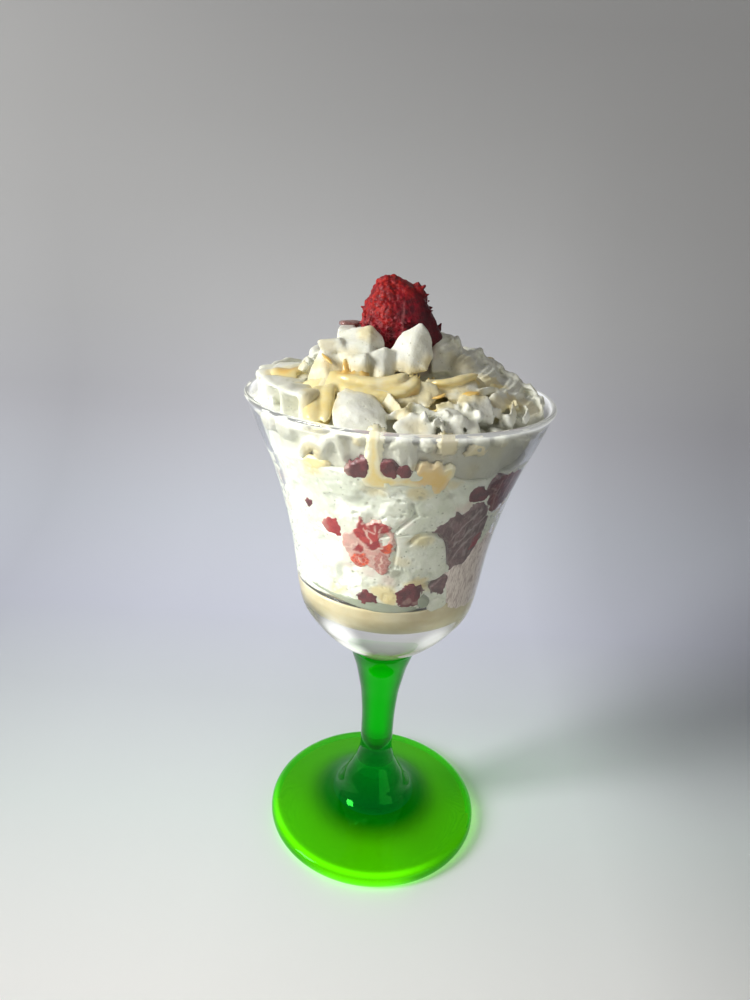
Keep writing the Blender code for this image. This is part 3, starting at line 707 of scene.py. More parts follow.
# %% [markdown]
# ## Shader groups that several foods share
# Cream, custard and fruit all need the same three things in different amounts: blotches of
# a second colour, little dark holes where bubbles have burst, and a fine bump. Each is a node
# group with named inputs, built once. The groups give only masks and heights; every food
# keeps its own Principled shader.

# %% Shared node groups
def node_group(name, inputs, output):
    """An empty shader group with named numbers going in and one coming out."""
    group = bpy.data.node_groups.new(name, 'ShaderNodeTree')
    for label, value in inputs.items():
        sock = group.interface.new_socket(name=label, in_out='INPUT', socket_type='NodeSocketFloat')
        sock.default_value = value
    group.interface.new_socket(name=output, in_out='OUTPUT', socket_type='NodeSocketFloat')
    into, out = group.nodes.new("NodeGroupInput"), group.nodes.new("NodeGroupOutput")
    return group, into.outputs, out.inputs[output]


def blotch_group():
    """Soft blotches: a mask that is 1 in the patches."""
    group, given, out = node_group("blotches", {"Size mm": 4.0, "Share": 0.5, "Softness": 0.12,
                                                "Shift": 0.0}, "Mask")
    moved = node(group, "VectorMath", {0: object_place(group), 1: given["Shift"]}).outputs[0]
    noise = clouds(group, moved, maths(group, 'DIVIDE', 1 / MM, given["Size mm"]), 3.0, 0.6)
    edge = maths(group, 'SUBTRACT', 1.0, given["Share"])
    low = maths(group, 'SUBTRACT', edge, given["Softness"])
    group.links.new(ranged(group, noise, low, plus(group, edge, given["Softness"])), out)
    return group


def hole_group():
    """Burst bubbles: a mask that is 1 in each hole."""
    group, given, out = node_group("bubble_holes", {"Size mm": 1.0, "Radius": 0.25}, "Mask")
    scale = maths(group, 'DIVIDE', 1 / MM, given["Size mm"])
    cells = node(group, "TexVoronoi", {"Vector": object_place(group), "Scale": scale})
    half = times(group, given["Radius"], 0.5)
    group.links.new(ranged(group, cells.outputs["Distance"], half, given["Radius"], 1.0, 0.0), out)
    return group


def grain_group():
    """Fine unevenness of any food, as a height from 0 to 1."""
    group, given, out = node_group("fine_grain", {"Size mm": 0.6, "Sharpness": 0.6}, "Height")
    scale = maths(group, 'DIVIDE', 1 / MM, given["Size mm"])
    group.links.new(clouds(group, object_place(group), scale, 5.0, given["Sharpness"]), out)
    return group


BLOTCHES, HOLES, GRAIN = blotch_group(), hole_group(), grain_group()


def grouped(tree, group, **inputs):
    """The result of a shared group, placed in a material; size is in millimetres."""
    made = tree.nodes.new("ShaderNodeGroup")
    made.node_tree = group
    for key, value in inputs.items():
        made.inputs["Size mm" if key == "size" else key.capitalize()].default_value = value
    return made.outputs[0]


print("groups:", BLOTCHES.name, HOLES.name, GRAIN.name)

# %% [markdown]
# ## What cream, custard and berries look like
# Whipped cream is a near-white foam: light goes in and comes out a little way off, so it gets
# some subsurface. Its holes, the gaps it leaves behind the glass and its side away from the
# window carry painted shade, grey-green where it is pressed on glass. Custard is a pale yellow
# that deepens to orange where it is thick and wet; a duller copy of it carries painted shade.
# Berry flesh runs from bright red to maroon with pale fibres, under a wet coat, and carries
# painted light and shade where its masks say.

# %% Cream and custard materials
CUSTARD_SOAKED = (0.80, 0.66, 0.28)
JUICE_SOAKED = (0.66, 0.36, 0.33)
CREAM_IN_SHADE = (0.34, 0.34, 0.26)


def cream_material(name, bright, dull, hole, hole_size, hole_radius, wet=0.0):
    """Whipped cream with blotches, burst bubbles and custard and juice stains; painted shade in its holes, in
    gaps behind the glass and on its shaded side.
    """
    mat, tree, shader = new_material(name, 0.5, Subsurface_Weight=0.2, Subsurface_Scale=0.001,
                                     Subsurface_Radius=(1.0, 0.92, 0.75), Coat_Weight=wet)
    patch = grouped(tree, BLOTCHES, size=5.0, share=0.46, softness=0.12)
    colour = mixed(tree, patch, bright, dull)
    holes = grouped(tree, HOLES, size=hole_size, radius=hole_radius)
    some = grouped(tree, BLOTCHES, size=3.0, share=0.48, softness=0.05, shift=0.3)
    burst = times(tree, holes, some)
    # painted shade in the burst bubbles
    colour = mixed(tree, times(tree, burst, 0.75), colour, hole)
    # stains, then painted shade in grey gaps and on the side away from the window
    for mask, tone in (("custard_stain", CUSTARD_SOAKED), ("juice_stain", JUICE_SOAKED),
                       ("grey_gap", hole), ("dusk", CREAM_IN_SHADE)):
        colour = mixed(tree, mask_of(tree, mask), colour, tone)
    grain = grouped(tree, GRAIN, size=0.7, sharpness=0.65)
    dress(shader, plus(tree, grain, times(tree, burst, -0.6)), 0.45, colour=colour)
    return mat


def custard_material(name, pale, deep, rough=0.28):
    """Custard: pale where thin, deeper in patches and where it stands deep, with a wet shine."""
    mat, tree, shader = new_material(name, rough, Subsurface_Weight=0.2, Subsurface_Scale=0.002,
                                     Subsurface_Radius=(1.0, 0.8, 0.4), Coat_Weight=0.3, Coat_Roughness=0.15)
    patch = grouped(tree, BLOTCHES, size=6.0, share=0.42, softness=0.16, shift=0.7)
    colour = mixed(tree, patch, pale, deep)
    colour = mixed(tree, mask_of(tree, "creamy"), colour, (0.84, 0.84, 0.68))
    colour = mixed(tree, mask_of(tree, "amber"), colour, (0.80, 0.46, 0.08))
    dress(shader, grouped(tree, GRAIN, size=1.6, sharpness=0.5), 0.2, colour=colour)
    return mat


def smear_material(name, pale, dark):
    """Cream rubbed down the glass with juice in it: long fine streaks of two tones, and painted shade where
    the mesh asks for it.
    """
    mat, tree, shader = new_material(name, 0.45, Coat_Weight=0.2)
    noise = drawn_out(tree, (1900.0, 1900.0, 260.0), 4.0, 0.7)
    colour = mixed(tree, ranged(tree, noise, 0.46, 0.62), pale, dark)
    colour = mixed(tree, mask_of(tree, "dusk"), colour, dark)
    dress(shader, noise, 0.5, colour=colour)
    return mat


# the third colour of each cream is the painted shade of its holes and gaps
PIPED_CREAM = cream_material("piped_cream", (0.87, 0.88, 0.79), (0.81, 0.82, 0.69),
                             (0.55, 0.55, 0.43), 1.1, 0.22)
PRESSED_CREAM = cream_material("pressed_cream", (0.83, 0.865, 0.755), (0.70, 0.745, 0.61),
                               (0.34, 0.36, 0.27), 1.5, 0.24, wet=0.15)
CUSTARD = custard_material("custard_drizzle_finish", (0.88, 0.76, 0.40), (0.84, 0.64, 0.18))
# a duller, darker copy of the custard: partly its own tone, partly painted shade
CUSTARD_WITH_PAINTED_SHADE = custard_material("custard_layer_painted_shade", (0.68, 0.62, 0.41), (0.60, 0.51, 0.29))
# painted shade: grey-green sheets in the gap under the lower cream, with the stem's green light painted in
GAP_SHADE_SHEET = custard_material("green_grey_gap_shade", (0.38, 0.42, 0.32), (0.30, 0.36, 0.27), rough=0.2)
SMEAR = smear_material("juicy_smear", (0.88, 0.80, 0.73), (0.52, 0.42, 0.38))
print("cream, custard and smear are mixed")

# %% Berry materials
def berry_material(name, dark, mid, bright, fibre, size, rough=0.3, coat=0.5, shine=0.5):
    """Berry flesh: three reds in patches, pale fibres, a wet coat; the dark red is painted shade where the
    mesh carries "shade", and the bright red is painted light on the crown.
    """
    mat, tree, shader = new_material(name, rough, Coat_Weight=coat, Coat_Roughness=0.12,
                                     Subsurface_Weight=0.1, Subsurface_Scale=0.0015,
                                     Specular_IOR_Level=shine)
    first = grouped(tree, BLOTCHES, size=size, share=0.5, softness=0.08)
    second = grouped(tree, BLOTCHES, size=size * 0.6, share=0.46, softness=0.06, shift=0.4)
    colour = mixed(tree, first, mid, dark)
    glow = times(tree, plus(tree, second, 0.35), mask_of(tree, "bright"))
    colour = mixed(tree, glow, colour, bright)
    cells = node(tree, "TexVoronoi", {"Vector": object_place(tree), "Scale": 1 / MM / (size * 0.55)},
                 feature='DISTANCE_TO_EDGE').outputs["Distance"]
    net = ranged(tree, cells, 0.02, 0.10, 1.0, 0.0)
    colour = mixed(tree, times(tree, net, mask_of(tree, "fibres")), colour, fibre)
    streak = ranged(tree, drawn_out(tree, (1100.0, 1100.0, 300.0), 3.0), 0.50, 0.66)
    colour = mixed(tree, times(tree, streak, mask_of(tree, "streaks")), colour, fibre)
    colour = mixed(tree, mask_of(tree, "pale"), colour, fibre)
    # painted shade where the mesh carries it
    colour = mixed(tree, mask_of(tree, "shade"), colour, dark)
    grain = grouped(tree, GRAIN, size=0.5, sharpness=0.7)
    dress(shader, plus(tree, grain, times(tree, net, 0.3)), 0.5, colour=colour)
    return mat


CROWN_BERRY = berry_material("crown_berry", (0.065, 0.002, 0.008), (0.22, 0.004, 0.014), (0.40, 0.014, 0.010),
                             (0.66, 0.20, 0.21), 2.2, rough=0.42, coat=0.05, shine=0.22)
CUT_BERRY = berry_material("cut_berry", (0.33, 0.015, 0.022), (0.52, 0.055, 0.050), (0.80, 0.11, 0.02),
                           (0.84, 0.66, 0.56), 2.4)
MAROON_BERRY = berry_material("maroon_berry", (0.09, 0.010, 0.016), (0.17, 0.022, 0.030),
                              (0.30, 0.03, 0.035), (0.45, 0.30, 0.26), 2.6)
# grey-purple flesh for pieces on the right: painted shade with a painted haze of glare
BERRY_IN_PAINTED_SHADE = berry_material("berry_in_painted_shade", (0.13, 0.07, 0.075), (0.22, 0.13, 0.135),
                              (0.30, 0.015, 0.03), (0.46, 0.38, 0.35), 3.0)
print("materials:", len(bpy.data.materials))

# %% [markdown]
# ## Drawing on the inside of the glass
# What is pressed against the bowl is easiest to think of as a flat map wrapped round it:
# azimuth in degrees across, height in millimetres up. A shape on that map is an outline of a
# few points. `map_distance` says how far inside an outline each place is, and `wall_piece`
# turns that into a solid whose front lies just in the wall where it is inside, and falls
# away behind the cream outside. Ragged edges come from noise added to the distance.

# %% Maps on the wall
FAR_AWAY = 1e9
EDGE_SLOPE = 1.3


def flat_map(az, z, middle_z):
    """Azimuth and height as flat millimetres, true to size at middle_z."""
    return np.stack([np.radians(az) * float(inner_r(middle_z)), np.asarray(z, float)], axis=-1)


def line_distance(at, line):
    """Distance in millimetres to an open line on the map."""
    line = np.array(line, float)
    best = np.full(at.shape[:-1], FAR_AWAY)
    for a, b in zip(line[:-1], line[1:]):
        run = b - a
        t = np.clip(((at - a) @ run) / (run @ run), 0, 1)
        best = np.minimum(best, np.linalg.norm(at - a - t[..., None] * run, axis=-1))
    return best


def map_distance(at, outline):
    """Distance in millimetres inside a closed outline; negative outside it."""
    odd = np.zeros(at.shape[:-1], bool)
    closed = np.concatenate([outline, outline[:1]])
    for a, b in zip(closed[:-1], closed[1:]):
        crosses = (a[1] > at[..., 1]) != (b[1] > at[..., 1])
        run = b - a
        reach = a[0] + (at[..., 1] - a[1]) / np.where(run[1] == 0, 1 / FAR_AWAY, run[1]) * run[0]
        odd ^= crosses & (at[..., 0] < reach)
    gap = line_distance(at, closed)
    return np.where(odd, gap, -gap)


def rounded(outline, closed=True, times_over=2):
    """Cuts the corners of an outline, so that a few points make a soft shape."""
    line = np.array(outline, float)
    for _ in range(times_over):
        nxt = np.roll(line, -1, axis=0) if closed else line[1:]
        own = line if closed else line[:-1]
        cut = np.stack([own * 0.75 + nxt * 0.25, own * 0.25 + nxt * 0.75], axis=1).reshape(-1, 2)
        line = cut if closed else np.concatenate([line[:1], cut, line[-1:]])
    return line


def on_map(outline, middle_z, closed=True, times_over=0):
    """An outline of (azimuth, height) points on the flat map, its corners cut if asked."""
    return flat_map(*rounded(outline, closed, times_over).T, middle_z)


def wall_point(az, z, sunk):
    """Points sunk millimetres inside the hollow's wall; negative is into the glass."""
    x, y = polar(az, inner_r(z) - sunk)
    return np.stack([x, y, np.asarray(z, float) * np.ones_like(x)], axis=-1)


def wall_piece(name, outline, mat, lift, depth, ragged, relief, seed, step=0.32, grain=1.6,
               relief_size=1.4, gaps=(), corners=1):
    """A solid pressed on the glass inside an outline of (azimuth, height) points.

    lift is how far it reaches into the wall, ragged how uneven its edge is, over grain
    millimetres; relief is how far its face sinks in places; gaps are outlines left open.
    Beyond its edge the face falls away behind the cream.
    """
    shape = np.array(outline, float)
    middle = shape[:, 1].mean()
    reach = float(inner_r(middle))
    margin = 1.4
    wide = math.degrees(margin / reach)
    az = np.arange(shape[:, 0].min() - wide, shape[:, 0].max() + wide, math.degrees(step / reach))
    zs = np.arange(shape[:, 1].min() - margin, shape[:, 1].max() + margin, step)
    AZ, Z = np.meshgrid(az, zs)
    at = flat_map(AZ, Z, middle)
    inside = map_distance(at, on_map(shape, middle, times_over=corners))
    for gap in gaps:
        inside = np.minimum(inside, -map_distance(at, on_map(gap, middle, times_over=corners)))
    flat = wall_point(AZ, Z, 0.0).reshape(-1, 3)
    noise = soft_noise(flat, grain, seed).reshape(AZ.shape)
    fine = soft_noise(flat, grain * 0.4, seed + 1).reshape(AZ.shape)
    inside = inside + ragged * (noise + 0.6 * fine)
    dips = step_up(-0.1, 0.7, soft_noise(flat, relief_size, seed + 2).reshape(AZ.shape))
    sunk = -lift + relief * dips + np.maximum(0.0, -inside) * EDGE_SLOPE
    thick = depth * np.sqrt(np.clip(inside / (0.35 * depth) + 0.4, 0.05, 1.0))
    return slab(name, wall_point(AZ, Z, sunk), wall_point(AZ, Z, sunk + thick), inside > -margin * 0.7, mat)


print("the hollow is", round(float(inner_r(120.0)), 1), "mm in radius at 120 mm")

# %% [markdown]
# ## The two cream layers between the fruit
# Each layer fills the bowl from one uneven level to the next and presses on the glass. Where
# it doesn't quite reach the wall, a shallow pocket of air stays behind the glass and looks
# grey: lumps, creases and burst bubbles are sunk into the skin, all in true relief. The skin
# itself reaches a tenth of a millimetre into the wall, so that no film of air shows where
# the cream touches.

# %% Levels between the layers
CUSTARD_TOP = 91.3


def custard_top(x, y):
    """Height of the custard: it climbs towards the right."""
    rise = 0.0040 * x * np.maximum(x, 0.0)
    return CUSTARD_TOP + rise + 0.3 * np.sin(x * 0.25 + 1.0) * np.cos(y * 0.2)


def lower_top(x, y):
    """Height of the lower cream, wavy near the wall."""
    az, edge = np.arctan2(x, -y), np.minimum(1.0, np.hypot(x, y) / 28.0)
    return 114.2 + edge * (1.5 * np.sin(2 * az + 0.8) + 0.9 * np.sin(5 * az))


def middle_top(x, y):
    """Height of the middle cream, wavy near the wall."""
    az, edge = np.arctan2(x, -y), np.minimum(1.0, np.hypot(x, y) / 34.0)
    return 133.2 + edge * (1.3 * np.sin(3 * az + 2.0) + 1.1 * np.sin(7 * az + 0.5))


def level_at_wall(level, az):
    """Height at which a level meets the hollow's wall."""
    r = np.full(np.shape(az), 28.0)
    for _ in range(14):
        z = level(*polar(az, r))
        r = inner_r(z)
    return z


def level_ring(level, az, r):
    """A ring of points on a level, at these azimuths and radii."""
    x, y = polar(az, r)
    return np.stack([x, y, level(x, y)], axis=-1)


def all_round(count):
    """Evenly spaced azimuths, once round."""
    return np.arange(count) * 360.0 / count


print("custard at", CUSTARD_TOP, "mm, cream at", float(lower_top(0, 0)), "and", float(middle_top(0, 0)))

# %% Skin of a cream layer
CREASE_MAP_Z = 114.0     # the creases are drawn true to size at this height
# creases in the cream: points (azimuth, height), depth and width in millimetres
CREASES = (
    (((-42.5, 118.6), (-39.5, 117.2), (-34, 117)), 1.0, 0.3),
    (((-23.5, 125), (-20.5, 121.5), (-16.5, 119)), 0.5, 0.4),
    (((2.5, 117), (4, 118.2), (8.5, 121), (10.5, 122.2)), 0.7, 0.4),
    (((9.5, 113.5), (14, 116.6), (22.5, 116.3), (29, 113.8), (33.4, 106)), 0.9, 0.5),
    (((33.4, 102.4), (25, 99.5), (13, 98.8)), 0.9, 0.4),
    (((8, 125.6), (9.5, 123), (10.5, 122)), 0.7, 0.5),
    (((1.5, 114.5), (3, 111.5), (2.4, 107.5)), 0.5, 0.5),
    (((-60, 108), (-52, 103), (-40, 101)), 0.5, 0.5), (((-33, 131), (-26, 128.5), (-20, 131)), 0.5, 0.6),
    (((20, 131), (27, 127), (31, 121.5)), 0.6, 0.7), (((100, 108), (118, 112), (139, 109)), 0.8, 0.6),
    (((150, 124), (170, 121), (196, 126)), 0.8, 0.6), (((208, 106), (226, 111), (250, 108)), 0.8, 0.6),
)
# burst bubbles: spacing, share of places that have one, radius in spacings, depth
BUBBLES = ((2.6, 0.30, 0.22, 0.9), (1.5, 0.34, 0.26, 0.6), (0.9, 0.4, 0.3, 0.3))


def pressed_relief(az, z, seed):
    """How far the cream stays behind the glass, in millimetres."""
    flat = wall_point(az, z, 0.0).reshape(-1, 3)
    lumps = soft_noise(flat, 7.0, seed) + 0.45 * soft_noise(flat, 3.0, seed + 1)
    sunk = 1.1 * step_up(0.30, 1.0, lumps)
    sunk += 0.14 * step_up(0.1, 0.8, soft_noise(flat, 1.3, seed + 2))
    for size, share, radius, deep in BUBBLES:
        hole = nearest_seed(flat, size, seed + int(size * 10), share)
        sunk += deep * step_down(radius * 0.5, radius, hole)
    sunk = sunk.reshape(np.shape(az))
    at = flat_map(az, z, CREASE_MAP_Z)
    for line, deep, wide in CREASES:
        gap = line_distance(at, on_map(line, CREASE_MAP_Z, closed=False, times_over=2))
        sunk += 1.6 * deep * np.exp(-(gap / wide) ** 2)
    return sunk


def filled_layer(name, low, high, mat, seed, step=0.45, cover=0.25):
    """A layer from one level to another, with its skin pressed on the glass."""
    az = all_round(480)
    bottom, top = level_at_wall(low, az) - cover, level_at_wall(high, az) + cover
    tall = int((top - bottom).max() / step)
    shares = (0.12, 0.45, 0.8)
    rings = [level_ring(high, az, inner_r(top) * share) for share in shares]
    for k in range(tall + 1):
        z = top + (bottom - top) * k / tall
        sunk = pressed_relief(az, z, seed) - 0.10
        if k in (0, tall):
            sunk = sunk + 0.6
        rings.append(wall_point(az, z, sunk))
    rings += [level_ring(low, az, inner_r(bottom) * share) for share in shares[::-1]]
    return closed_skin(name, rings, mat)


print(len(CREASES), "creases and", len(BUBBLES), "sizes of bubble")

# %% Lower and middle cream
def cream_floor(x, y):
    """Underside of the lower cream: it arches over the sheets of painted shade on the left and in front."""
    az = np.degrees(np.arctan2(x, -y))
    arch = 2.9 * np.exp(-((az + 12.0) / 26.0) ** 2) + 0.9 * np.exp(-((az + 55.0) / 16.0) ** 2)
    return custard_top(x, y) + 0.2 + arch * step_up(0.6, 1.0, np.hypot(x, y) / 27.0)


def ragged_spots(p, spots, soft=2.6):
    """A mask of spots with ragged edges, for stains and for painted shade: each spot is (azimuth, height,
    radius in mm, strength).
    """
    az, reach = at_wall(p)
    blur = 1.5 * soft_noise(p, 3.2, 5) + 0.8 * soft_noise(p, 1.4, 6)
    mask = np.zeros(len(p))
    for a, h, radius, strength in spots:
        gap = np.hypot(np.radians((az - a + 180) % 360 - 180) * reach, (p[:, 2] - h) * 1.3) + blur
        mask = np.maximum(mask, strength * step_down(radius * 0.4, radius * 0.4 + soft, gap))
    return mask


def right_side(p):
    """1 on the shaded right of the bowl, 0 in front, on the left and at the back."""
    az, _ = at_wall(p)
    return step_up(-8, 35, az) * step_down(95, 150, az)


lower_cream = filled_layer("cream_lower_pressed", cream_floor, lower_top, PRESSED_CREAM, 40)
at = places(lower_cream)
# stains of custard and juice, and grey spots of painted shade where the cream leaves gaps
tint_masks(
    lower_cream,
    custard_stain=ragged_spots(at, (
        (15, 114.6, 4.0, 0.55), (17, 99.6, 4.0, 0.8), (-2, 98.0, 3.0, 0.7), (0.5, 95.6, 3.0, 0.8),
        (-29, 95.5, 2.4, 0.6), (4, 108, 2, 0.3), (29, 92.6, 2.5, 0.6), (120, 100, 5, 0.6),
        (210, 96, 5, 0.6))),
    juice_stain=ragged_spots(at, (
        (-0.5, 101.5, 1.6, 0.35), (-21, 104, 2.0, 0.35), (56, 100, 7.0, 0.5), (62, 110, 5.0, 0.35),
        (-9, 103.5, 1.5, 0.3), (150, 104, 5, 0.4))),
    grey_gap=ragged_spots(at, ((4.2, 103.8, 1.6, 0.75), (-12, 99.6, 1.0, 0.3), (32, 112, 1.5, 0.5)), 1.0))
belongs(lower_cream, "cream_between_fruit", "cream_lower")

middle_cream = filled_layer("cream_middle_pressed", lower_top, middle_top, PRESSED_CREAM, 60)
at = places(middle_cream)
# painted shade on the right near the top of the layer, stains, and grey spots of painted shade
tint_masks(
    middle_cream,
    dusk=0.5 * right_side(at) * step_up(124, 136, at[:, 2]),
    custard_stain=ragged_spots(at, (
        (-33, 132, 3.0, 0.6), (10, 129.0, 4.0, 0.6), (24, 131, 3.0, 0.5), (-7, 129.5, 4.0, 0.5),
        (140, 128, 5, 0.6), (230, 122, 5, 0.6))),
    juice_stain=ragged_spots(at, (
        (-66, 124, 2.0, 0.4), (-64, 116, 1.6, 0.4), (7, 119.5, 2.0, 0.25), (60, 121, 4.0, 0.5),
        (34, 123, 2.0, 0.3), (180, 124, 5, 0.4))),
    grey_gap=ragged_spots(at, (
        (-5.7, 123.9, 1.0, 0.55), (11, 127.4, 0.6, 0.6), (-16.5, 132.8, 1.2, 0.6), (8.7, 125.4, 0.7, 0.7),
        (24, 128, 2.4, 0.5)), 0.8))
belongs(middle_cream, "cream_between_fruit", "cream_middle")

# %% [markdown]
# ## Custard at the bottom
# The custard is a smooth pool that fills the round floor of the hollow. Its skin reaches into
# the glass everywhere, and its surface climbs a little towards the right, where it was
# pushed up.

# %% Custard layer
def custard_pool():
    """The pool: its uneven top, its wall against the glass, and its round floor."""
    az = all_round(300)
    top = level_at_wall(custard_top, az)
    rings = []
    for share in (0.1, 0.3, 0.5, 0.7, 0.85, 0.95, 0.985):
        x, y = polar(az, inner_r(top) * share)
        rings.append(np.stack([x, y, custard_top(x, y) + 0.15 * np.sin(3 * share + x * 0.4)], axis=-1))
    for k in range(26):
        z = top + (CAVITY_Z + 0.12 - top) * (k / 25) ** 0.8
        rings.append(wall_point(az, z, -0.10))
    rings.append(level_ring(lambda x, y: np.full(len(x), CAVITY_Z - 0.05), az, CAVITY_R * 0.5))
    # the pool's finish is the darker copy of the custard, with painted shade
    return closed_skin("custard_pool", rings, CUSTARD_WITH_PAINTED_SHADE)


belongs(custard_pool(), "custard", "custard_layer")

# %% [markdown]
# ## Strawberries pressed on the glass
# Each piece of fruit is drawn as an outline on the map of the wall, a little in front of the
# cream, so that the cream closes round it. Masks carried by the mesh say where the flesh is
# bright, pale or fibrous, and where it carries painted shade. Pieces on the right get a
# grey-purple finish: painted shade with a painted haze of glare.

# %% Fruit outlines on the wall
# node: outline of (azimuth, height), finish, slot, depth, raggedness of the edge
FRUIT = {
    "strawberry_front": (((-24, 113), (-21.5, 115), (-18, 115.4), (-15.6, 117.4), (-14.5, 120.6),
        (-12.6, 118.6), (-10, 117.8), (-7.5, 119), (-4.4, 118.8), (-1, 118.5), (0.4, 117), (1.4, 114.5),
        (1.9, 112), (0, 109), (0.2, 107), (-0.4, 104.2), (-4, 103), (-7, 105.2), (-10.8, 105.8),
        (-14, 104.8), (-18.6, 105.6), (-20.2, 107), (-23, 110)), CUT_BERRY, "strawberry_cut", 8.0, 0.14),
    "strawberry_left": (((-34.5, 115), (-33, 117.6), (-27.4, 118.4), (-25, 117.1), (-24.2, 115.4),
        (-23.8, 113.4), (-27, 113.2), (-32, 113.8)), CUT_BERRY, "strawberry_flesh", 5.0, 0.12),
    "strawberry_left_bit": (((-44.1, 121.3), (-38.5, 122.2), (-38.6, 120.5), (-41.7, 119.2)),
        MAROON_BERRY, "strawberry_shaded", 3.0, 0.15),
    "strawberry_right_slant": (((19.5, 117.8), (26, 120), (30, 121.4), (34.2, 121.3), (36, 123.9),
        (45, 123.8), (51, 120), (43, 117), (37, 114.6), (32.5, 111), (30, 111.6), (28, 114.4)),
        BERRY_IN_PAINTED_SHADE, "strawberry_shaded", 6.0, 0.15),
    "strawberry_right_slice": (((36.5, 116), (43, 118.6), (50.4, 120), (53, 115.6), (51.8, 112),
        (49, 109), (47, 105.5), (46.2, 102), (41, 100.6), (34.5, 104), (31.4, 109.5)), BERRY_IN_PAINTED_SHADE,
        "strawberry_shaded", 6.0, 0.15),
    "strawberry_right_high": (((45, 125.6), (41.5, 129.6), (46.4, 131.3), (57, 131.8), (66, 131),
        (71, 127), (67, 122.5), (59, 121), (52, 119)), MAROON_BERRY, "strawberry_flesh", 6.0, 0.2),
    "strawberry_right_small": (((32.6, 127.4), (34, 129.6), (40.5, 128.8), (45.4, 125.8), (40, 124.6),
        (35.6, 124.6)), MAROON_BERRY, "strawberry_flesh", 3.5, 0.15),
    "strawberry_floor_left": (((-16.4, 96.2), (-12.5, 98), (-9, 97.8), (-5.2, 95.6), (-6, 93.9),
        (-15, 93.9)), MAROON_BERRY, "strawberry_shaded", 5.0, 0.2),
    "strawberry_floor_right": (((5.4, 98.2), (9.5, 99.8), (15, 100), (20.8, 98.8), (18.4, 96.6),
        (17, 93.4), (9.2, 92.6), (6, 95.8)), MAROON_BERRY, "strawberry_shaded", 6.0, 0.25),
    "strawberry_floor_side": (((25.5, 99.6), (33.6, 102.2), (35.6, 99), (33, 95.6), (29, 97)),
        BERRY_IN_PAINTED_SHADE, "strawberry_shaded", 5.0, 0.2),
    "strawberry_under_rim_left": (((-19.2, 133.5), (-16.3, 135.5), (-11, 137.8), (-9.6, 136.4),
        (-10, 133.4), (-14.6, 132.2), (-18.4, 132.2)), MAROON_BERRY, "strawberry_shaded", 4.0, 0.15),
    "strawberry_under_rim_right": (((-5.4, 137), (-2.4, 137.6), (-0.6, 137), (1.2, 134.8), (1.2, 132.8),
        (-1.2, 133.3), (-4.4, 134.2)), MAROON_BERRY, "strawberry_shaded", 4.0, 0.12),
    "strawberry_under_rim_side": (((0.6, 135.2), (3.4, 137.2), (6.8, 134), (3.8, 133.5), (1.4, 133.8)),
        MAROON_BERRY, "strawberry_shaded", 4.0, 0.12),
}
# a gap in the front piece, where white cream shows
WHITE_PATCH = ((-5, 115.4), (-1.6, 116.4), (0, 115.7), (-0.4, 113.5), (-2.6, 112), (-4.7, 112.9))
# red parts of the front piece; the flesh between them is milky
FRONT_CRIMSON = (
    (-14.5, 121), (-12.6, 118.6), (-10, 117.8), (-7.5, 119.2), (-4.4, 119), (-1, 118.8), (0.4, 117),
    (-1.6, 116.4), (-4.8, 115.9), (-5.5, 114), (-4.6, 112), (-7.3, 110.8), (-10.2, 111), (-12.2, 112.2),
    (-15, 113.7), (-17.7, 115), (-17.6, 116.2), (-15.4, 117.3),
)
FRONT_SPOTS = (
    ((-18.4, 109.6), (-15.8, 112), (-13.4, 111.3), (-13, 110.1)),
    ((-7, 108.8), (-4.5, 109.8), (-0.9, 109.1), (-0.1, 107.3), (-0.4, 104), (-4, 102.8), (-6.9, 105)),
)
FRONT_ORANGE = (
    ((-4.6, 111.3), (-1.3, 112.8), (0.8, 113.6), (2, 112), (0.6, 110.6), (-1.8, 110.3)),
    ((-20.2, 106.9), (-19.1, 108.4), (-13.8, 109.3), (-10.4, 108.4), (-10.9, 106), (-14, 104.8),
     (-18.6, 105.6)),
)
# pale fibres of the front piece and of the slices on the right
FRONT_LINES = (
    ((-15.7, 114), (-11.6, 110.8), (-7.3, 110.2), (-3.9, 111.6)),
    ((-12.7, 116.9), (-10.1, 114.6), (-9.1, 113)), ((-10.8, 116.7), (-8.1, 116.1)),
    ((-7.3, 118), (-7.6, 116.6)), ((-4.4, 117.8), (-4.8, 116.2)),
    ((-22.8, 110.1), (-19.7, 110.5), (-15.8, 112.3)), ((-10.2, 109.3), (-7.3, 108.7), (-8, 106.8)),
    ((-0.7, 117.2), (1.3, 114.5), (1.9, 112.2)), ((-15.4, 107.6), (-14.6, 106.4)),
    ((-3.6, 109), (-4, 104)),
)
SLICE_LINES = (
    ((35.4, 112), (41.2, 116), (49.4, 119)), ((31.4, 111), (34, 112.7), (36.5, 113)),
    ((46, 124), (50.8, 119.3)), ((30, 113.6), (36, 117.8), (44, 121.6)),
    ((33, 106), (38, 110.6), (45, 114)),
)
HIGH_LINES = (
    ((49.5, 129.5), (50.5, 124), (53, 119.6)), ((58, 131), (57.5, 123)), ((44, 128), (50, 127)),
    ((47, 126.5), (53, 124.5)),
)
SLICE_RED = ((44.9, 109.5), (45.3, 112.4), (50.3, 113.4), (51.6, 110.9), (48.9, 108.9))
SLICE_SHADE = ((20, 118), (28, 115), (30.4, 111.5), (33.6, 105.5))
FRUIT_MAP_Z = 112.0      # masks on the fruit are drawn true to size at this height
print(len(FRUIT), "pieces of fruit lie against the wall")

# %% Masks of the fruit
def near_places(p, spots, soft=1.0):
    """A mask that is 1 near each (azimuth, height, radius) and fades over soft mm."""
    az, reach = at_wall(p)
    mask = np.zeros(len(p))
    for a, h, radius in spots:
        gap = np.hypot(np.radians(az - a) * reach, p[:, 2] - h) + 0.5 * soft_noise(p, 1.2, 8)
        mask = np.maximum(mask, step_down(radius, radius + soft, gap))
    return mask


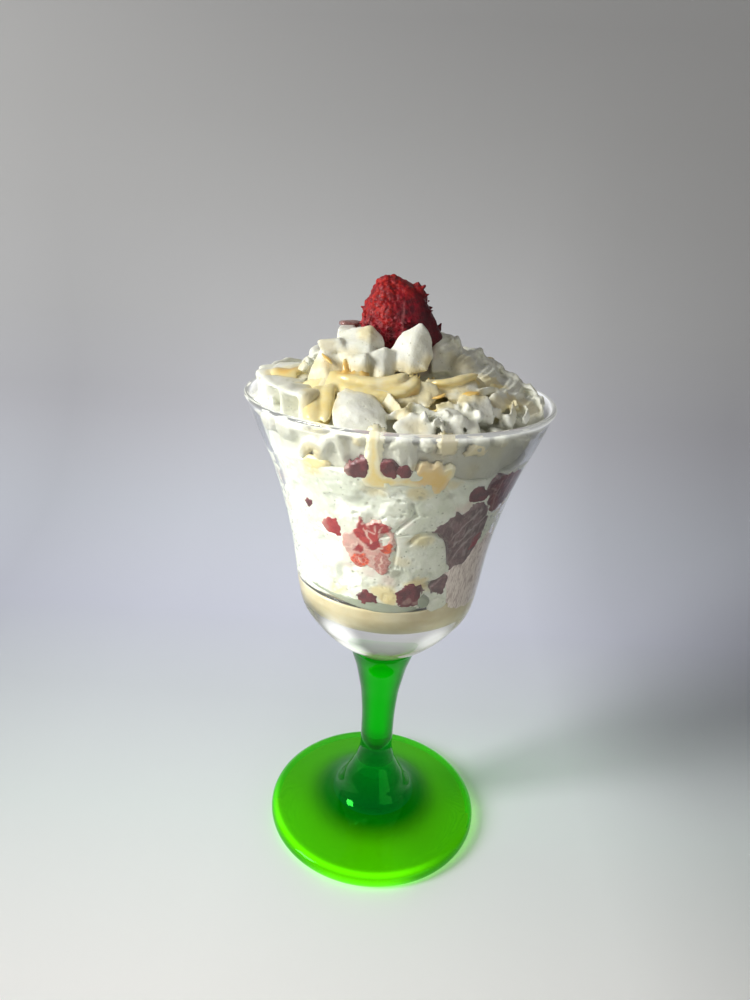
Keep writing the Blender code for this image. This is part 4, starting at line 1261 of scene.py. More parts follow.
def near_lines(p, lines, wide=0.34):
    """A mask that is 1 along lines of (azimuth, height)."""
    at = flat_map(at_wall(p)[0], p[:, 2], FRUIT_MAP_Z)
    mask = np.zeros(len(p))
    for line in lines:
        gap = line_distance(at, on_map(line, FRUIT_MAP_Z))
        mask = np.maximum(mask, step_down(wide * 0.3, wide, gap + 0.12 * soft_noise(p, 0.8, 9)))
    return mask


def inside_mask(p, outlines, edge=0.28):
    """A mask that is 1 inside any of the outlines of (azimuth, height)."""
    at = flat_map(at_wall(p)[0], p[:, 2], FRUIT_MAP_Z)
    mask = np.zeros(len(p))
    ragged = 0.35 * soft_noise(p, 1.1, 15) + 0.15 * soft_noise(p, 0.5, 16)
    for outline in outlines:
        gap = map_distance(at, on_map(outline, FRUIT_MAP_Z)) + ragged
        mask = np.maximum(mask, step_up(-edge, edge, gap))
    return mask


def fruit_masks(p, name):
    """Where a pressed piece is bright, pale, fibrous, streaky or shaded."""
    p = p + 0.55 * np.stack([soft_noise(p, 1.1, 21), np.zeros(len(p)), soft_noise(p, 1.1, 22)], axis=1)
    az, _ = at_wall(p)
    bright, pale, fibres, shade, streaks = np.zeros((5, len(p)))
    if name == "strawberry_front":
        orange = inside_mask(p, FRONT_ORANGE)
        red = np.maximum(inside_mask(p, (FRONT_CRIMSON,) + FRONT_SPOTS), orange)
        bright = orange
        pale = 0.80 * (1 - red) * (0.82 + 0.18 * soft_noise(p, 2.0, 17))
        pale = np.maximum(pale, 0.85 * near_lines(p, FRONT_LINES))
        pale = np.maximum(pale, 0.30 * inside_mask(p, FRONT_SPOTS[1:]))
        shade = 0.6 * step_up(115.6, 118.4, p[:, 2]) * red
        fibres = 0.35 * step_down(108.0, 110.0, p[:, 2])
    elif name == "strawberry_left":
        shade = 0.5 + 0.3 * step_up(-28, -24, az)
        pale = 0.45 * step_down(-33.0, -29.5, az + 1.2 * soft_noise(p, 1.5, 18))
    elif name in ("strawberry_right_slice", "strawberry_right_slant"):
        pale = 0.75 * near_lines(p, SLICE_LINES)
        streaks = np.full(len(p), 0.45)
        bright = 1.4 * inside_mask(p, (SLICE_RED,))
        shade = 0.6 * near_lines(p, (SLICE_SHADE,), 1.2)
    elif name == "strawberry_right_high":
        pale = 0.6 * near_lines(p, HIGH_LINES, 0.32)
        streaks = np.full(len(p), 0.35)
    elif name == "strawberry_floor_right":
        pale = 0.5 * near_places(p, ((16, 94.4, 0.5), (13, 95.4, 0.4), (9.5, 94.6, 0.4)), 0.5)
    elif name == "strawberry_under_rim_left":
        pale = 0.6 * step_down(-18.0, -15.8, az)
    return {"bright": bright, "pale": pale, "fibres": fibres, "shade": shade, "streaks": streaks}

# %% Fruit pieces
for count, (node_name, (outline, mat, slot, depth, ragged)) in enumerate(FRUIT.items()):
    front = node_name == "strawberry_front"
    fruit = wall_piece(node_name + "_pressed", outline, mat, lift=0.24, depth=depth, ragged=ragged * 3.6,
                       relief=0.06, seed=100 + count, step=0.24 if front else 0.32, grain=1.2,
                       gaps=(WHITE_PATCH,) if front else ())
    tint_masks(fruit, **fruit_masks(places(fruit), node_name))
    belongs(fruit, slot, node_name)

# %% [markdown]
# ## Custard and cream smeared on the inside of the glass
# Some custard has run down between the lobes and spread under them in a band. On the right a
# thin smear of cream with juice in it lies over the fruit. Thin grey-green sheets of painted
# shade lie where the lower cream leaves a gap above the custard, with the stem's green light
# painted into them. These are thin pieces made like the fruit. The smear and the sheets of
# painted shade reach deeper into the wall than the pieces they lie over.

# %% Custard band
BAND = (
    (-9, 145.4), (-9.4, 140.2), (-9.9, 136.4), (-10.4, 132.8), (-12.4, 131.4), (-10.4, 129.6),
    (-7.3, 130), (-2, 129.8), (2, 131.2), (7, 130.6), (10.4, 131), (14, 130.2), (17.4, 128),
    (20.4, 130.4), (22, 134.6), (20.4, 136.4), (17.4, 134.9), (14.8, 137.4), (12.4, 135.6), (9.4, 137.8),
    (7.9, 134.2), (2, 133), (-2.1, 133.4), (-4.7, 133.8), (-5.5, 137.1), (-5.8, 140.4), (-4.8, 145.4),
)
BAND_MAP_Z = 134.0
band = wall_piece("custard_band_pressed", BAND, CUSTARD, lift=0.12, depth=2.4, ragged=0.3, relief=0.05,
                  seed=140, relief_size=3.0, corners=2)
at = places(band)
band_depth = map_distance(flat_map(at_wall(at)[0], at[:, 2], BAND_MAP_Z),
                          on_map(BAND, BAND_MAP_Z, times_over=2))
tint_masks(band, creamy=0.7 * step_down(0.1, 1.5, band_depth + 0.7 * soft_noise(at, 1.8, 141)),
           amber=0.45 * near_places(at, ((12, 134.6, 2.5), (18, 131, 1.5)), 2.5))
belongs(band, "custard", "custard_band")

# %% Patches and smears
# label: outline of (azimuth, height), finish, slot, lift, depth, raggedness
PATCHES = {
    "custard_under_rim": (((13, 144.6), (19, 144.2), (20.5, 140.2), (15.4, 139.8)), CUSTARD_WITH_PAINTED_SHADE,
        "custard", 0.1, 1.0, 0.5),
    "custard_patch_left": (((-37.6, 133.6), (-32.5, 135.4), (-26.4, 135), (-28, 132.8), (-35, 132)),
        CUSTARD, "custard", 0.12, 1.0, 0.5),
    "custard_fleck_side": (((24.4, 138.8), (26.7, 142.2), (30.7, 141.4), (32.2, 139), (28, 139.8)),
        CUSTARD_WITH_PAINTED_SHADE, "custard", 0.12, 1.0, 0.4),
    "gap_shade_arc": (((-50, 94.0), (-36, 93.6), (-22, 92.6), (-8.6, 91.4), (3.6, 91.2), (17, 92.0),
        (18.4, 93.2), (10, 93.4), (3.3, 93.8), (-6.8, 94.4), (-22, 94.2), (-36, 94.6), (-50, 94.6)), GAP_SHADE_SHEET,
        "custard", 0.2, 1.6, 0.1),
    "gap_shade_patch": (((17.4, 95.6), (21.4, 96), (25.4, 94.7), (24.6, 92.8), (19.2, 92.9)), GAP_SHADE_SHEET, "custard",
        0.3, 1.0, 0.15),
    "cream_patch_low": (((23.7, 92), (28.7, 95.3), (37, 94.4), (37.4, 92), (29.1, 90.7)), PRESSED_CREAM,
        "cream_between_fruit", 0.2, 1.4, 0.3),
    "juicy_smear_right": (((34.6, 101.6), (36.7, 105.4), (41, 104.6), (45.4, 105.6), (47.8, 108.2),
        (52, 110), (58.8, 109.4), (66, 110.5), (72, 106), (72, 97), (74, 89), (60, 88.4), (47, 89.6),
        (39.6, 91.6), (36, 95.9)), SMEAR, "cream_between_fruit", 0.34, 1.6, 0.45),
}
# notches in the smear, darkened as painted shade
SMEAR_NOTCHES = (((51.5, 97), (58.5, 98.6), (58.5, 96.4)), ((42.6, 92.2), (45.6, 94.4), (44.4, 91.8)))
for count, (label, (outline, mat, slot, lift, depth, ragged)) in enumerate(PATCHES.items()):
    piece = wall_piece(label, outline, mat, lift=lift, depth=depth, ragged=ragged, relief=0.08,
                       seed=150 + count)
    if mat is SMEAR:
        tint_masks(piece, dusk=inside_mask(places(piece), SMEAR_NOTCHES))
    belongs(piece, slot)

# %% [markdown]
# ## Piped cream
# The mound is piped from a star nozzle. A star rope is a ring with rounded ridges and sharp
# grooves, carried along a path; a dollop is a ball pulled out of shape. We lay down dozens of
# them where the dessert has them, then let a voxel remesh draw one skin round them all, which
# leaves the small creases where they meet. Last we push every point that would pass through
# the glass back to the wall, so the cream flattens there as real cream does.

# %% Tools of the piping bag
def along(path, count):
    """A smooth run of points through a few given ones."""
    pts = np.array(path, float)
    if len(pts) == 2:
        t = np.linspace(0, 1, count)[:, None]
        return pts[0] * (1 - t) + pts[1] * t
    ends = np.concatenate([[2 * pts[0] - pts[1]], pts, [2 * pts[-1] - pts[-2]]])
    out = []
    for u in np.linspace(0, len(pts) - 1.000001, count):
        i, t = int(u), u - int(u)
        a, b, c, d = ends[i:i + 4]
        out.append(0.5 * (2 * b + (c - a) * t + (2 * a - 5 * b + 4 * c - d) * t * t
                          + (3 * b - a - 3 * c + d) * t ** 3))
    return np.array(out)


def rope(path, radii, teeth=6, groove=0.24, turn=0.0, seed=0, count=36, around=56, wobble=0.06, flat=1.0):
    """A piped rope: ridged all round, thick and thin as radii say, tapered at its ends."""
    line = along(path, count)
    share = np.linspace(0, 1, count)
    thick = np.interp(share, np.linspace(0, 1, len(radii)), radii)
    thick = thick * (1 + wobble * soft_noise(line, 3.0, seed))
    thick = thick * np.sqrt(np.clip(np.minimum(share, 1 - share) * 9.0 + 0.03, 0, 1))
    ahead = np.gradient(line, axis=0)
    ahead /= np.linalg.norm(ahead, axis=1, keepdims=True)
    side = np.cross(ahead[0], (0, 0, 1.0))
    side = np.array((1.0, 0, 0)) if np.linalg.norm(side) < 0.1 else side
    a = np.linspace(0, math.tau, around, endpoint=False)
    rings = []
    for i in range(count):
        side = side - ahead[i] * (side @ ahead[i])
        side = side / np.linalg.norm(side)
        up = np.cross(side, ahead[i])
        ridge = 1 - groove + groove * np.abs(np.cos(teeth * (a + turn * share[i]) / 2)) if groove else 1.0
        r = (thick[i] * ridge * np.ones(around))[:, None]
        rings.append(line[i] + r * (np.cos(a)[:, None] * side + flat * np.sin(a)[:, None] * up))
    return closed_skin("rope", rings)


def taken_out(bm):
    """Points and faces of a scratch mesh, which is freed."""
    points = np.array([v.co for v in bm.verts])
    faces = [[v.index for v in f.verts] for f in bm.faces]
    bm.free()
    return points, faces


def dollop(at, size, turn=0.0, seed=0, peak=0.0, lean=(0.0, 0.0), lumpy=0.13, fine=3):
    """A ball of cream pulled out of shape, with a small peak if asked."""
    bm = bmesh.new()
    bmesh.ops.create_icosphere(bm, subdivisions=fine, radius=1.0)
    co, faces = taken_out(bm)
    k = 1 + lumpy * soft_noise(co * 5 + seed * 3.7, 3.4, seed)
    k = k + 0.5 * lumpy * soft_noise(co * 5, 1.6, seed + 1)
    p = co * k[:, None]
    tip = np.exp(-((p[:, 0] - lean[0]) ** 2 + (p[:, 1] - lean[1]) ** 2) / 0.10) * step_up(0.0, 0.7, p[:, 2])
    p = p * np.array(size)
    p[:, 2] += peak * tip
    c, s = math.cos(math.radians(turn)), math.sin(math.radians(turn))
    x, y = c * p[:, 0] - s * p[:, 1], s * p[:, 0] + c * p[:, 1]
    return new_piece("dollop", np.stack([x, y, p[:, 2]], axis=1) + np.array(at), faces)


def chunk(corners, seed=0, torn=0.5, soft=0.5):
    """A torn block of cream between its given corners, with broken faces between them."""
    bm = bmesh.new()
    for corner in corners:
        bm.verts.new(corner)
    bmesh.ops.convex_hull(bm, input=bm.verts)
    loose = [v for v in bm.verts if not v.link_faces]
    bmesh.ops.delete(bm, geom=loose, context='VERTS')
    for _ in range(4):
        bmesh.ops.subdivide_edges(bm, edges=bm.edges[:], cuts=1)
    for _ in range(int(1 + 9 * soft)):
        bmesh.ops.smooth_vert(bm, verts=bm.verts[:], factor=0.5,
                              use_axis_x=True, use_axis_y=True, use_axis_z=True)
    bmesh.ops.triangulate(bm, faces=bm.faces[:])
    bmesh.ops.recalc_face_normals(bm, faces=bm.faces[:])
    bm.normal_update()
    n = np.array([v.normal for v in bm.verts])
    p, faces = taken_out(bm)
    crease = 0.8 - 2.0 * np.abs(soft_noise(p, 3.0, seed)) + 0.5 - np.abs(soft_noise(p, 1.3, seed + 2))
    grow = torn * (0.9 * soft_noise(p, 2.6, seed + 1) + 0.6 * crease)
    return new_piece("chunk", p + n * grow[:, None], faces)


# section of a crest, from its edge down one side: share of its height, share of its thickness
BLADE_SIDE = ((0.0, 0.22), (0.12, 0.34), (0.5, 0.6), (1.0, 1.0))


def blade(edge, tall, thick=1.0, lean=(0.0, 0.0), seed=0, wavy=0.4):
    """A thin crest of cream: its sharp upper edge follows a path, its foot is thicker."""
    count = 30
    line = along(edge, count)
    line = line + wavy * np.stack([soft_noise(line, 2.0, seed), soft_noise(line, 2.0, seed + 1),
                                   0.8 * soft_noise(line, 1.5, seed + 2)], axis=1)
    ahead = np.gradient(line, axis=0)
    ahead[:, 2] = 0
    ahead /= np.maximum(np.linalg.norm(ahead, axis=1, keepdims=True), 1e-6)
    side = np.stack([ahead[:, 1], -ahead[:, 0], np.zeros(count)], axis=1)
    foot = np.array((lean[0], lean[1], -tall))
    rings = []
    for i in range(count):
        fade = math.sqrt(min(1.0, min(i, count - 1 - i) / 5 + 0.08))
        near = [line[i] + foot * down * fade + side[i] * thick * half * 0.5 for down, half in BLADE_SIDE]
        far = [line[i] + foot * down * fade - side[i] * thick * half * 0.5 for down, half in BLADE_SIDE[::-1]]
        rings.append(near + far)
    return closed_skin("blade", rings)


def bar(az0, az1, r0, r1, z0, z1, width, teeth=8, groove=0.26, seed=0, turn=0.5):
    """Cream piped round the mound from az0 to az1."""
    path = []
    for t in np.linspace(0, 1, 6):
        path.append((*polar(az0 + (az1 - az0) * t, r0 + (r1 - r0) * t), z0 + (z1 - z0) * t))
    radii = [width * f for f in (0.7, 0.95, 1.0, 0.98, 0.9, 0.62)]
    return rope(path, radii, teeth, groove, turn, seed, count=44, around=84)


def lobe(az, z_top, z_tip, width, seed=0, lean=0.0, inward=0.0):
    """A tongue of cream that hangs down against the glass."""
    path = []
    for t in np.linspace(0, 1, 5):
        z = z_top + (z_tip + width * 0.4 - z_top) * t
        r = float(inner_r(z)) - width * (0.97 - 0.2 * t) - inward
        path.append((*polar(az + lean * t, r), z))
    radii = [width * f for f in (0.8, 1.0, 1.0, 0.85, 0.6)]
    return rope(path, radii, 5, 0.12, seed=seed, count=24, around=40)


def fluted_block(az0, az1, r_in, r_out, low, high, grooves):
    """A broad block of cream on the rim; its outer face is fluted: (azimuth, width, depth)."""
    az = np.linspace(az0, az1, 150)
    end = np.minimum(az - az0, az1 - az) / 2.5
    round_off = 1.6 * (1 - np.sqrt(np.clip(end, 0.0, 1.0)))
    cut = np.zeros(len(az))
    for at, wide, deep in grooves:
        cut = np.maximum(cut, deep * np.exp(-np.abs((az - at) / wide) ** 3))
    # radius, height and how much of the grooves is cut in
    rows = ((r_in, low, 0), (r_out - 3.4, low, 0.25), (r_out - 1.5, low + 2.5, 0.4),
            (r_out - 0.5, low + 5, 0.65), (r_out, (low + high) / 2 + 1.0, 0.9),
            (r_out + 0.2, high - 2.6, 1.15), (r_out + 0.3, high - 1.7, 1.1), (r_out + 0.4, high - 1.2, 0.3),
            (r_out + 0.2, high - 0.5, 0.15), (r_out - 0.8, high, 0.1), (r_out - 3.5, high + 0.2, 0.1),
            (r_out - 6.0, high + 0.1, 0.0), (r_in + 1.5, high - 0.6, 0), (r_in, high - 1.6, 0))
    rings = []
    for r, z, share in rows:
        x, y = polar(az, r - cut * share - round_off * (r - r_in) / (r_out - r_in))
        rings.append(np.stack([x, y, z - 0.12 * cut * (z > high - 2) - round_off * (z > low + 3)], axis=-1))
    return closed_skin("fluted_block", np.array(rings).transpose(1, 0, 2))

# %% The mound under the piping
MOUND_TOP = 155.5


def mound_top(x, y):
    """Height of the mound: highest in the middle, falling to the rim."""
    t = np.minimum(1.0, np.hypot(x, y) / 40.0)
    return MOUND_TOP - 15.0 * t ** 1.25 + 0.8 * np.sin(x * 0.3 + 0.5) * np.cos(y * 0.28)


def mound_body():
    """The plain mound; its side stays a little behind the glass."""
    az = all_round(160)
    bottom = level_at_wall(middle_top, az) - 0.4
    rings = [level_ring(middle_top, az, inner_r(bottom) * share) - (0, 0, 0.3) for share in (0.1, 0.5, 0.9)]
    for k in range(14):
        z = bottom + (142.0 - bottom) * k / 13
        at = wall_point(az, z, 0.0)
        rings.append(wall_point(az, z, 1.5 + 0.9 * soft_noise(at, 5.0, 70)))
    for share in (0.9, 0.75, 0.6, 0.45, 0.3, 0.15, 0.04):
        rings.append(level_ring(mound_top, az, 38.5 * share))
    return closed_skin("mound", rings)


print("mound top at", MOUND_TOP, "mm")

# %% Piped ridges
GROOVES = ((-84, 3.0, 3.6), (-70.5, 3.4, 4.8), (-55, 4.2, 5.6), (-42.5, 3.4, 5.0))
# piped layers: from azimuth, to azimuth, radius, height, width (and tilt on the right)
RIGHT_BARS = ((48.0, 116.0, 9.4, 156.6, 5.0, 0.9), (52.0, 116.0, 16.2, 152.6, 4.6, 0.5),
              (52.0, 112.0, 22.6, 149.6, 4.4, 0.3), (52.0, 108.0, 28.6, 146.8, 4.2, 0.2),
              (56.0, 106.0, 34.2, 144.0, 4.0, 0.1))
BACK_BARS = ((116, 172, 14.5, 154.4, 5.6), (178, 236, 14.7, 154.0, 5.6), (112, 156, 25.7, 148.9, 6.2),
             (160, 204, 26.0, 148.9, 6.2), (208, 250, 26.2, 148.5, 6.2), (108, 146, 35.0, 143.7, 5.2),
             (150, 190, 35.0, 143.8, 5.2), (194, 232, 35.0, 144.1, 5.2), (236, 268, 35.0, 144.9, 4.8))


def piped_shells():
    """Cream piped in ridges: the fluted block on the left, fine-toothed layers right and back."""
    pieces = [fluted_block(-92, -33.5, 27.0, 38.4, 136.0, 150.2, GROOVES)]
    for k, (az0, az1, r, z, width, tilt) in enumerate(RIGHT_BARS):
        pieces.append(bar(az0, az1, r, r + 0.3, z - tilt, z + tilt, width, teeth=15, groove=0.22,
                          seed=10 + k, turn=0.3))
    for k, (az0, az1, r, z, width) in enumerate(BACK_BARS):
        pieces.append(bar(az0, az1, r, r, z, z, width, teeth=7, groove=0.28, seed=20 + k, turn=0.9))
    return pieces


print(len(RIGHT_BARS) + len(BACK_BARS), "piped layers")

# %% Chunks, crests and lobes
# torn blocks: their corners in millimetres, how broken their faces are, how rounded their edges
CHUNKS = (
    # the tall angular block on the left
    (((-21.2, -15.6, 159.8), (-15.8, -15.4, 160.6), (-20.4, -16.2, 157.8), (-13.6, -16.6, 157.6),
     (-20, -9, 159), (-14, -9, 160), (-19, -9, 154), (-13, -9, 154)), 0.15, 0.08),
    (((-20.6, -15, 157.8), (-19.2, -15.4, 157.9), (-22.8, -16, 152.6), (-23.2, -18.4, 149.6),
     (-19.4, -24.6, 148.6), (-14, -24.6, 149.6), (-13, -19, 153.6), (-14.4, -16, 156), (-21.6, -8, 151),
     (-15, -8, 156), (-18.4, -21, 153.4)), 0.25, 0.6),
    # the cube of cream under the thin slice
    (((-17, -7.5, 162), (-12.8, -7.5, 162), (-17, -8.6, 155), (-11.6, -8.6, 156), (-16.8, -1.4, 162),
     (-12.8, -1.4, 162), (-18, -0.5, 153), (-11.5, 0, 154)), 0.12, 0.1),
    # the big porous lump beside the strawberry
    (((-13, -11, 163), (-8.6, -12, 163.9), (-5.7, -11, 161.4), (-4.4, -13.5, 157.5), (-9, -17.4, 155.6),
     (-14.6, -18, 156), (-16.8, -13, 158.4), (-16, -12, 160.4), (-13, -5, 160), (-7, -5, 161),
     (-12, -5, 153), (-5, -6, 153), (-8, -17.6, 158)), 0.4, 0.35),
    # the small bright cube below it
    (((-13, -20, 157), (-8.7, -20.8, 157.9), (-8.2, -21.6, 153), (-12.2, -22.2, 152), (-12.6, -15, 157.5),
     (-8.6, -15, 158), (-12.6, -15, 151), (-8, -15, 151)), 0.15, 0.3),
    # the shaded fold between the cube and the bright blob
    (((-8.2, -18, 157.6), (-4.6, -17, 159.6), (-2.2, -16, 158.6), (-1.8, -19.5, 153),
     (-7.6, -20.6, 151.6), (-4.4, -21.8, 153.4), (-8, -13, 157), (-2.6, -12, 158), (-5, -14, 151)), 0.12,
     0.25),
    # the bright blob with its point, in front of the strawberry
    (((-3.0, -13.6, 158.4), (-1.6, -13.4, 161.2), (0.6, -13.4, 163.4), (3.6, -13, 165.2),
     (5.6, -12.8, 163.8), (7.2, -13, 161.2), (7.7, -13.8, 157.8), (6.2, -17.6, 154.6), (2, -19.2, 153.6),
     (-1.8, -18, 154.4), (0, -8.5, 160), (5.4, -8.5, 160), (5, -8, 153), (-1, -9, 153),
     (2.4, -17.2, 158.8)), 0.3, 0.3),
    # the front shell at the rim
    (((-14.6, -26.6, 150.4), (-9.6, -27.4, 151), (-5.6, -29, 150), (-3, -33, 148), (-2.4, -37, 144.6),
     (-8, -38.6, 143), (-14, -38, 143), (-15.4, -33, 147.6), (-9.6, -34.6, 149), (-14.6, -28, 142),
     (-4, -28, 142)), 0.18, 0.6),
    # white piece with a drip, right of the ribbon's end
    (((4.2, -23.6, 152.9), (8.6, -23.4, 152.6), (9.4, -25.6, 150.6), (6.5, -29.4, 147.6),
     (3.2, -26.4, 150.4), (5, -20, 150), (9, -20, 149.6)), 0.3, 0.6),
    # lumps along the rim in front and to the right
    (((-0.8, -37.4, 145), (2.4, -35.6, 148.4), (7.4, -36, 146.8), (9, -37, 144), (1, -38.6, 143),
     (0, -31, 147), (8, -30, 146)), 0.6, 0.6),
    (((10.8, -32, 147.4), (13.4, -30.6, 148.9), (15.6, -32, 147), (15, -35, 144), (10.8, -35.4, 144),
     (12, -28, 147)), 0.4, 0.7),
    (((15.6, -31.6, 146.8), (18.6, -30.8, 146.8), (18.9, -33, 144.4), (15.6, -34, 144), (17, -28, 146)),
     0.35, 0.7),
    (((13.6, -26, 150.4), (17.8, -24.8, 151.4), (21.6, -24, 150.6), (22.8, -27, 147), (18, -30, 146.6),
     (13.6, -29.6, 147), (18, -20, 150)), 0.6, 0.6),
    (((10, -20, 152.6), (14, -19, 153.4), (18.6, -17.6, 153), (20, -22, 149.4), (13, -25, 149.6),
     (9, -24, 150)), 0.4, 0.8),
    (((22, -20, 150.4), (26, -16, 150.4), (28, -18, 147.6), (24.6, -24, 145.6), (20, -22, 147)), 0.5,
     0.6),
    (((27, -14.6, 149.4), (32, -10, 149), (34.6, -12, 145.4), (29, -21, 144.6)), 0.5, 0.6),
    # the slope under the ribbon
    (((-17, -21, 152), (4, -20.5, 153), (-17, -25, 149.6), (-16, -28, 147), (-8, -29.5, 148.4),
     (2, -29, 149), (6, -25.6, 150.6), (6, -28, 147), (-14, -20, 146), (4, -18, 147)), 0.3, 0.9),
    (((6, -19, 152.6), (19, -14, 153.6), (22, -17, 150.4), (8, -25, 149.6), (17, -23, 149.8),
     (6, -15, 149), (20, -12, 149)), 0.35, 0.9),
    # broad low forms behind the left block
    (((-34, -10, 150.6), (-27, -14.6, 149.2), (-23, -14, 150), (-24, -4, 152), (-33, 2, 150.8),
     (-30, -8, 144)), 0.5, 0.9),
    (((-26.6, -13.6, 152), (-24.6, -15.4, 152), (-23.2, -13.8, 153.6), (-24.9, -12.8, 154.8),
     (-26.2, -12.6, 153.4), (-24.6, -12, 151)), 0.1, 0.7),
    (((-20, -4, 156.6), (-24, 2, 154), (-18, 8, 155.6), (-12, 4, 157), (-26, 10, 150), (-12, 10, 154)),
     0.5, 0.8),
)
# the stepped outline of the cream behind on the right, set with small teeth
STEPS = (
    (7.5, -4, 160.4), (13.6, -1, 160.6), (15.2, 0, 157.4), (17, 1, 156.2), (21, 3, 156.8),
    (22.4, 4, 154.4), (25.5, 5, 153.4), (28, 4, 151.6), (30.8, 1, 150.8), (31.8, -1, 149.4),
    (34.4, -4, 149.4), (36, -6, 147.4), (37.4, -8, 146.4),
)
# section of each step: how far it reaches across, and down
STEP_SECTION = ((-3.4, 3.0), (0, 1.0), (3, 1.6), (0, 9.0), (-8, 7.5))
# thin crests: upper edge, height, thickness, lean of the foot
BLADES = (
    (((-13.4, -26.8, 151), (-8, -27.2, 151.4), (-3.8, -28, 151.6), (-0.6, -30.6, 149.6), (1, -33, 147.8)),
     3.4, 1.1, (-1.2, 0.4)),
    (((-15, -24.8, 150.4), (-10, -26.2, 150.2), (-6, -27, 150.4)), 2.6, 2.0, (0, 0)),
    (((-3.2, -33.6, 146.9), (1.2, -33, 149.2), (2.9, -32, 150.1), (6, -32, 149), (10.6, -32, 147.4),
     (14.4, -32, 145.6)), 3.2, 1.0, (0.4, 1.0)),
    (((8.6, -29, 149.4), (11.6, -28.4, 150), (14, -28.6, 149)), 2.4, 0.9, (0, 0.6)),
    (((26.4, -15.6, 151), (24.8, -18.6, 149.6), (23, -22.6, 147.6)), 3.6, 0.9, (0.8, 0.6)),
    (((28, -15.2, 148.8), (29.6, -13.4, 150), (31.4, -11.8, 149.4)), 2.6, 0.9, (0, 0)),
    (((27.4, -19.6, 149.2), (27, -22.4, 148), (26, -26.4, 145.6)), 3.4, 0.9, (0.8, 0.4)),
    (((34.4, -9.4, 148.8), (35.8, -11.8, 148), (36.2, -14.6, 145.6)), 3.2, 0.9, (-0.6, 0.4)),
    (((19.6, -26.4, 148), (22, -25, 148.6), (24.6, -23.6, 148)), 2.6, 0.9, (0, 0)),
    (((30.6, -17, 148), (31.4, -19.6, 147.4), (30, -22.4, 145.4)), 2.6, 0.8, (0.5, 0.2)),
    (((18.6, -21, 151.4), (21, -19, 152), (24, -16.6, 151.4)), 2.4, 0.9, (0, 0.4)),
    (((7.4, -33.4, 147.8), (9.6, -34.6, 147.4), (10.2, -36.6, 145.8)), 2.4, 0.8, (0.4, 0)),
)
# lobes that hang against the glass: azimuth, top, tip, width
LOBES = (
    (-56, 144, 137.0, 3.6), (-44, 144, 136.0, 4.2), (-12.5, 144.5, 139.6, 2.4), (1.4, 143.5, 134.8, 2.4),
    (11.4, 143, 139.4, 2.2), (21, 144, 140.4, 2.4), (29, 144, 138.0, 3.2), (40, 144, 139.4, 2.6),
    (52, 143, 136.6, 3.0), (64, 144, 138, 3.2), (78, 143, 136, 3.4), (94, 143, 135.6, 3.2),
    (110, 144, 137, 3.4), (126, 143, 135.8, 3.4), (143, 144, 136.8, 3.2), (160, 143, 135.4, 3.4),
    (178, 144, 137, 3.2), (196, 143, 135.6, 3.4), (213, 144, 137.2, 3.2), (230, 143, 135.8, 3.4),
    (248, 144, 136.8, 3.2), (264, 143, 136, 3.4), (282, 143, 135, 3.2),
)
# thin folds that curl over behind the glass: run of (azimuth, height), half-width
CURLS = (
    (((-29, 133.9), (-27, 138), (-23.8, 141.3), (-20.8, 141.7), (-19.1, 139.1), (-19.3, 135.6)), 1.3),
    (((-40.7, 132.8), (-36.5, 136.5), (-32.6, 139), (-29.5, 139.2), (-29.2, 136.4), (-32.6, 133.8)), 1.6),
    (((-2.6, 140.6), (0.5, 142.4), (3.7, 141.5), (5.5, 138), (5.6, 133.6)), 1.3),
)
print(len(CHUNKS), "chunks,", len(BLADES), "crests,", len(LOBES), "lobes")

# %% The whole top in one skin
def small_frills():
    """Crumpled crests and crumbs of cream, thickest in front and on the right."""
    pieces = []
    rng = np.random.default_rng(31)
    for k in range(32):
        in_front = k < 6
        az = rng.uniform(8, 76) if in_front else rng.uniform(90, 330)
        r = rng.uniform(25, 37.5)
        x, y = polar(az, r)
        z = 146.6 + 0.30 * (38 - r) + rng.uniform(-0.8, 0.8) if in_front else float(mound_top(x, y)) + 3.6
        turn = rng.uniform(0, math.pi)
        step = rng.uniform(1.0, 2.2) * np.array((math.cos(turn), math.sin(turn), 0.0))
        top = np.array((x, y, z + rng.uniform(0.3, 1.5)))
        edge = (np.array((x, y, z)) - step, top, np.array((x, y, z - 0.3)) + step)
        pieces.append(blade(edge, rng.uniform(1.6, 2.6), rng.uniform(1.1, 1.8), (rng.uniform(-0.5, 0.5), 0.2),
                            200 + k, 0.3))
    for k in range(14):
        az, r = rng.uniform(14, 78), rng.uniform(24, 37)
        size = rng.uniform(1.2, 2.6)
        at = (*polar(az, r), 145.4 + 0.30 * (38 - r) + rng.uniform(-0.8, 0.6))
        half_sizes = (size, size * 0.8, size * 0.9)
        pieces.append(dollop(at, half_sizes, rng.uniform(0, 180), 300 + k, 0.0, lumpy=0.35))
    return pieces


def flattened_on_glass(p, reach=0.10):
    """Points that would pass through the glass go back to its wall."""
    limit = np.where(p[:, 2] < RIM_Z - 0.4, inner_r(p[:, 2]) + reach,
                     inner_r(RIM_Z) + 0.9 * step_up(RIM_Z, RIM_Z + 1.5, p[:, 2]) - 0.25)
    r = np.hypot(p[:, 0], p[:, 1])
    shrink = np.minimum(1.0, limit / np.maximum(r, 1e-6))
    p[:, 0] *= shrink
    p[:, 1] *= shrink
    return p


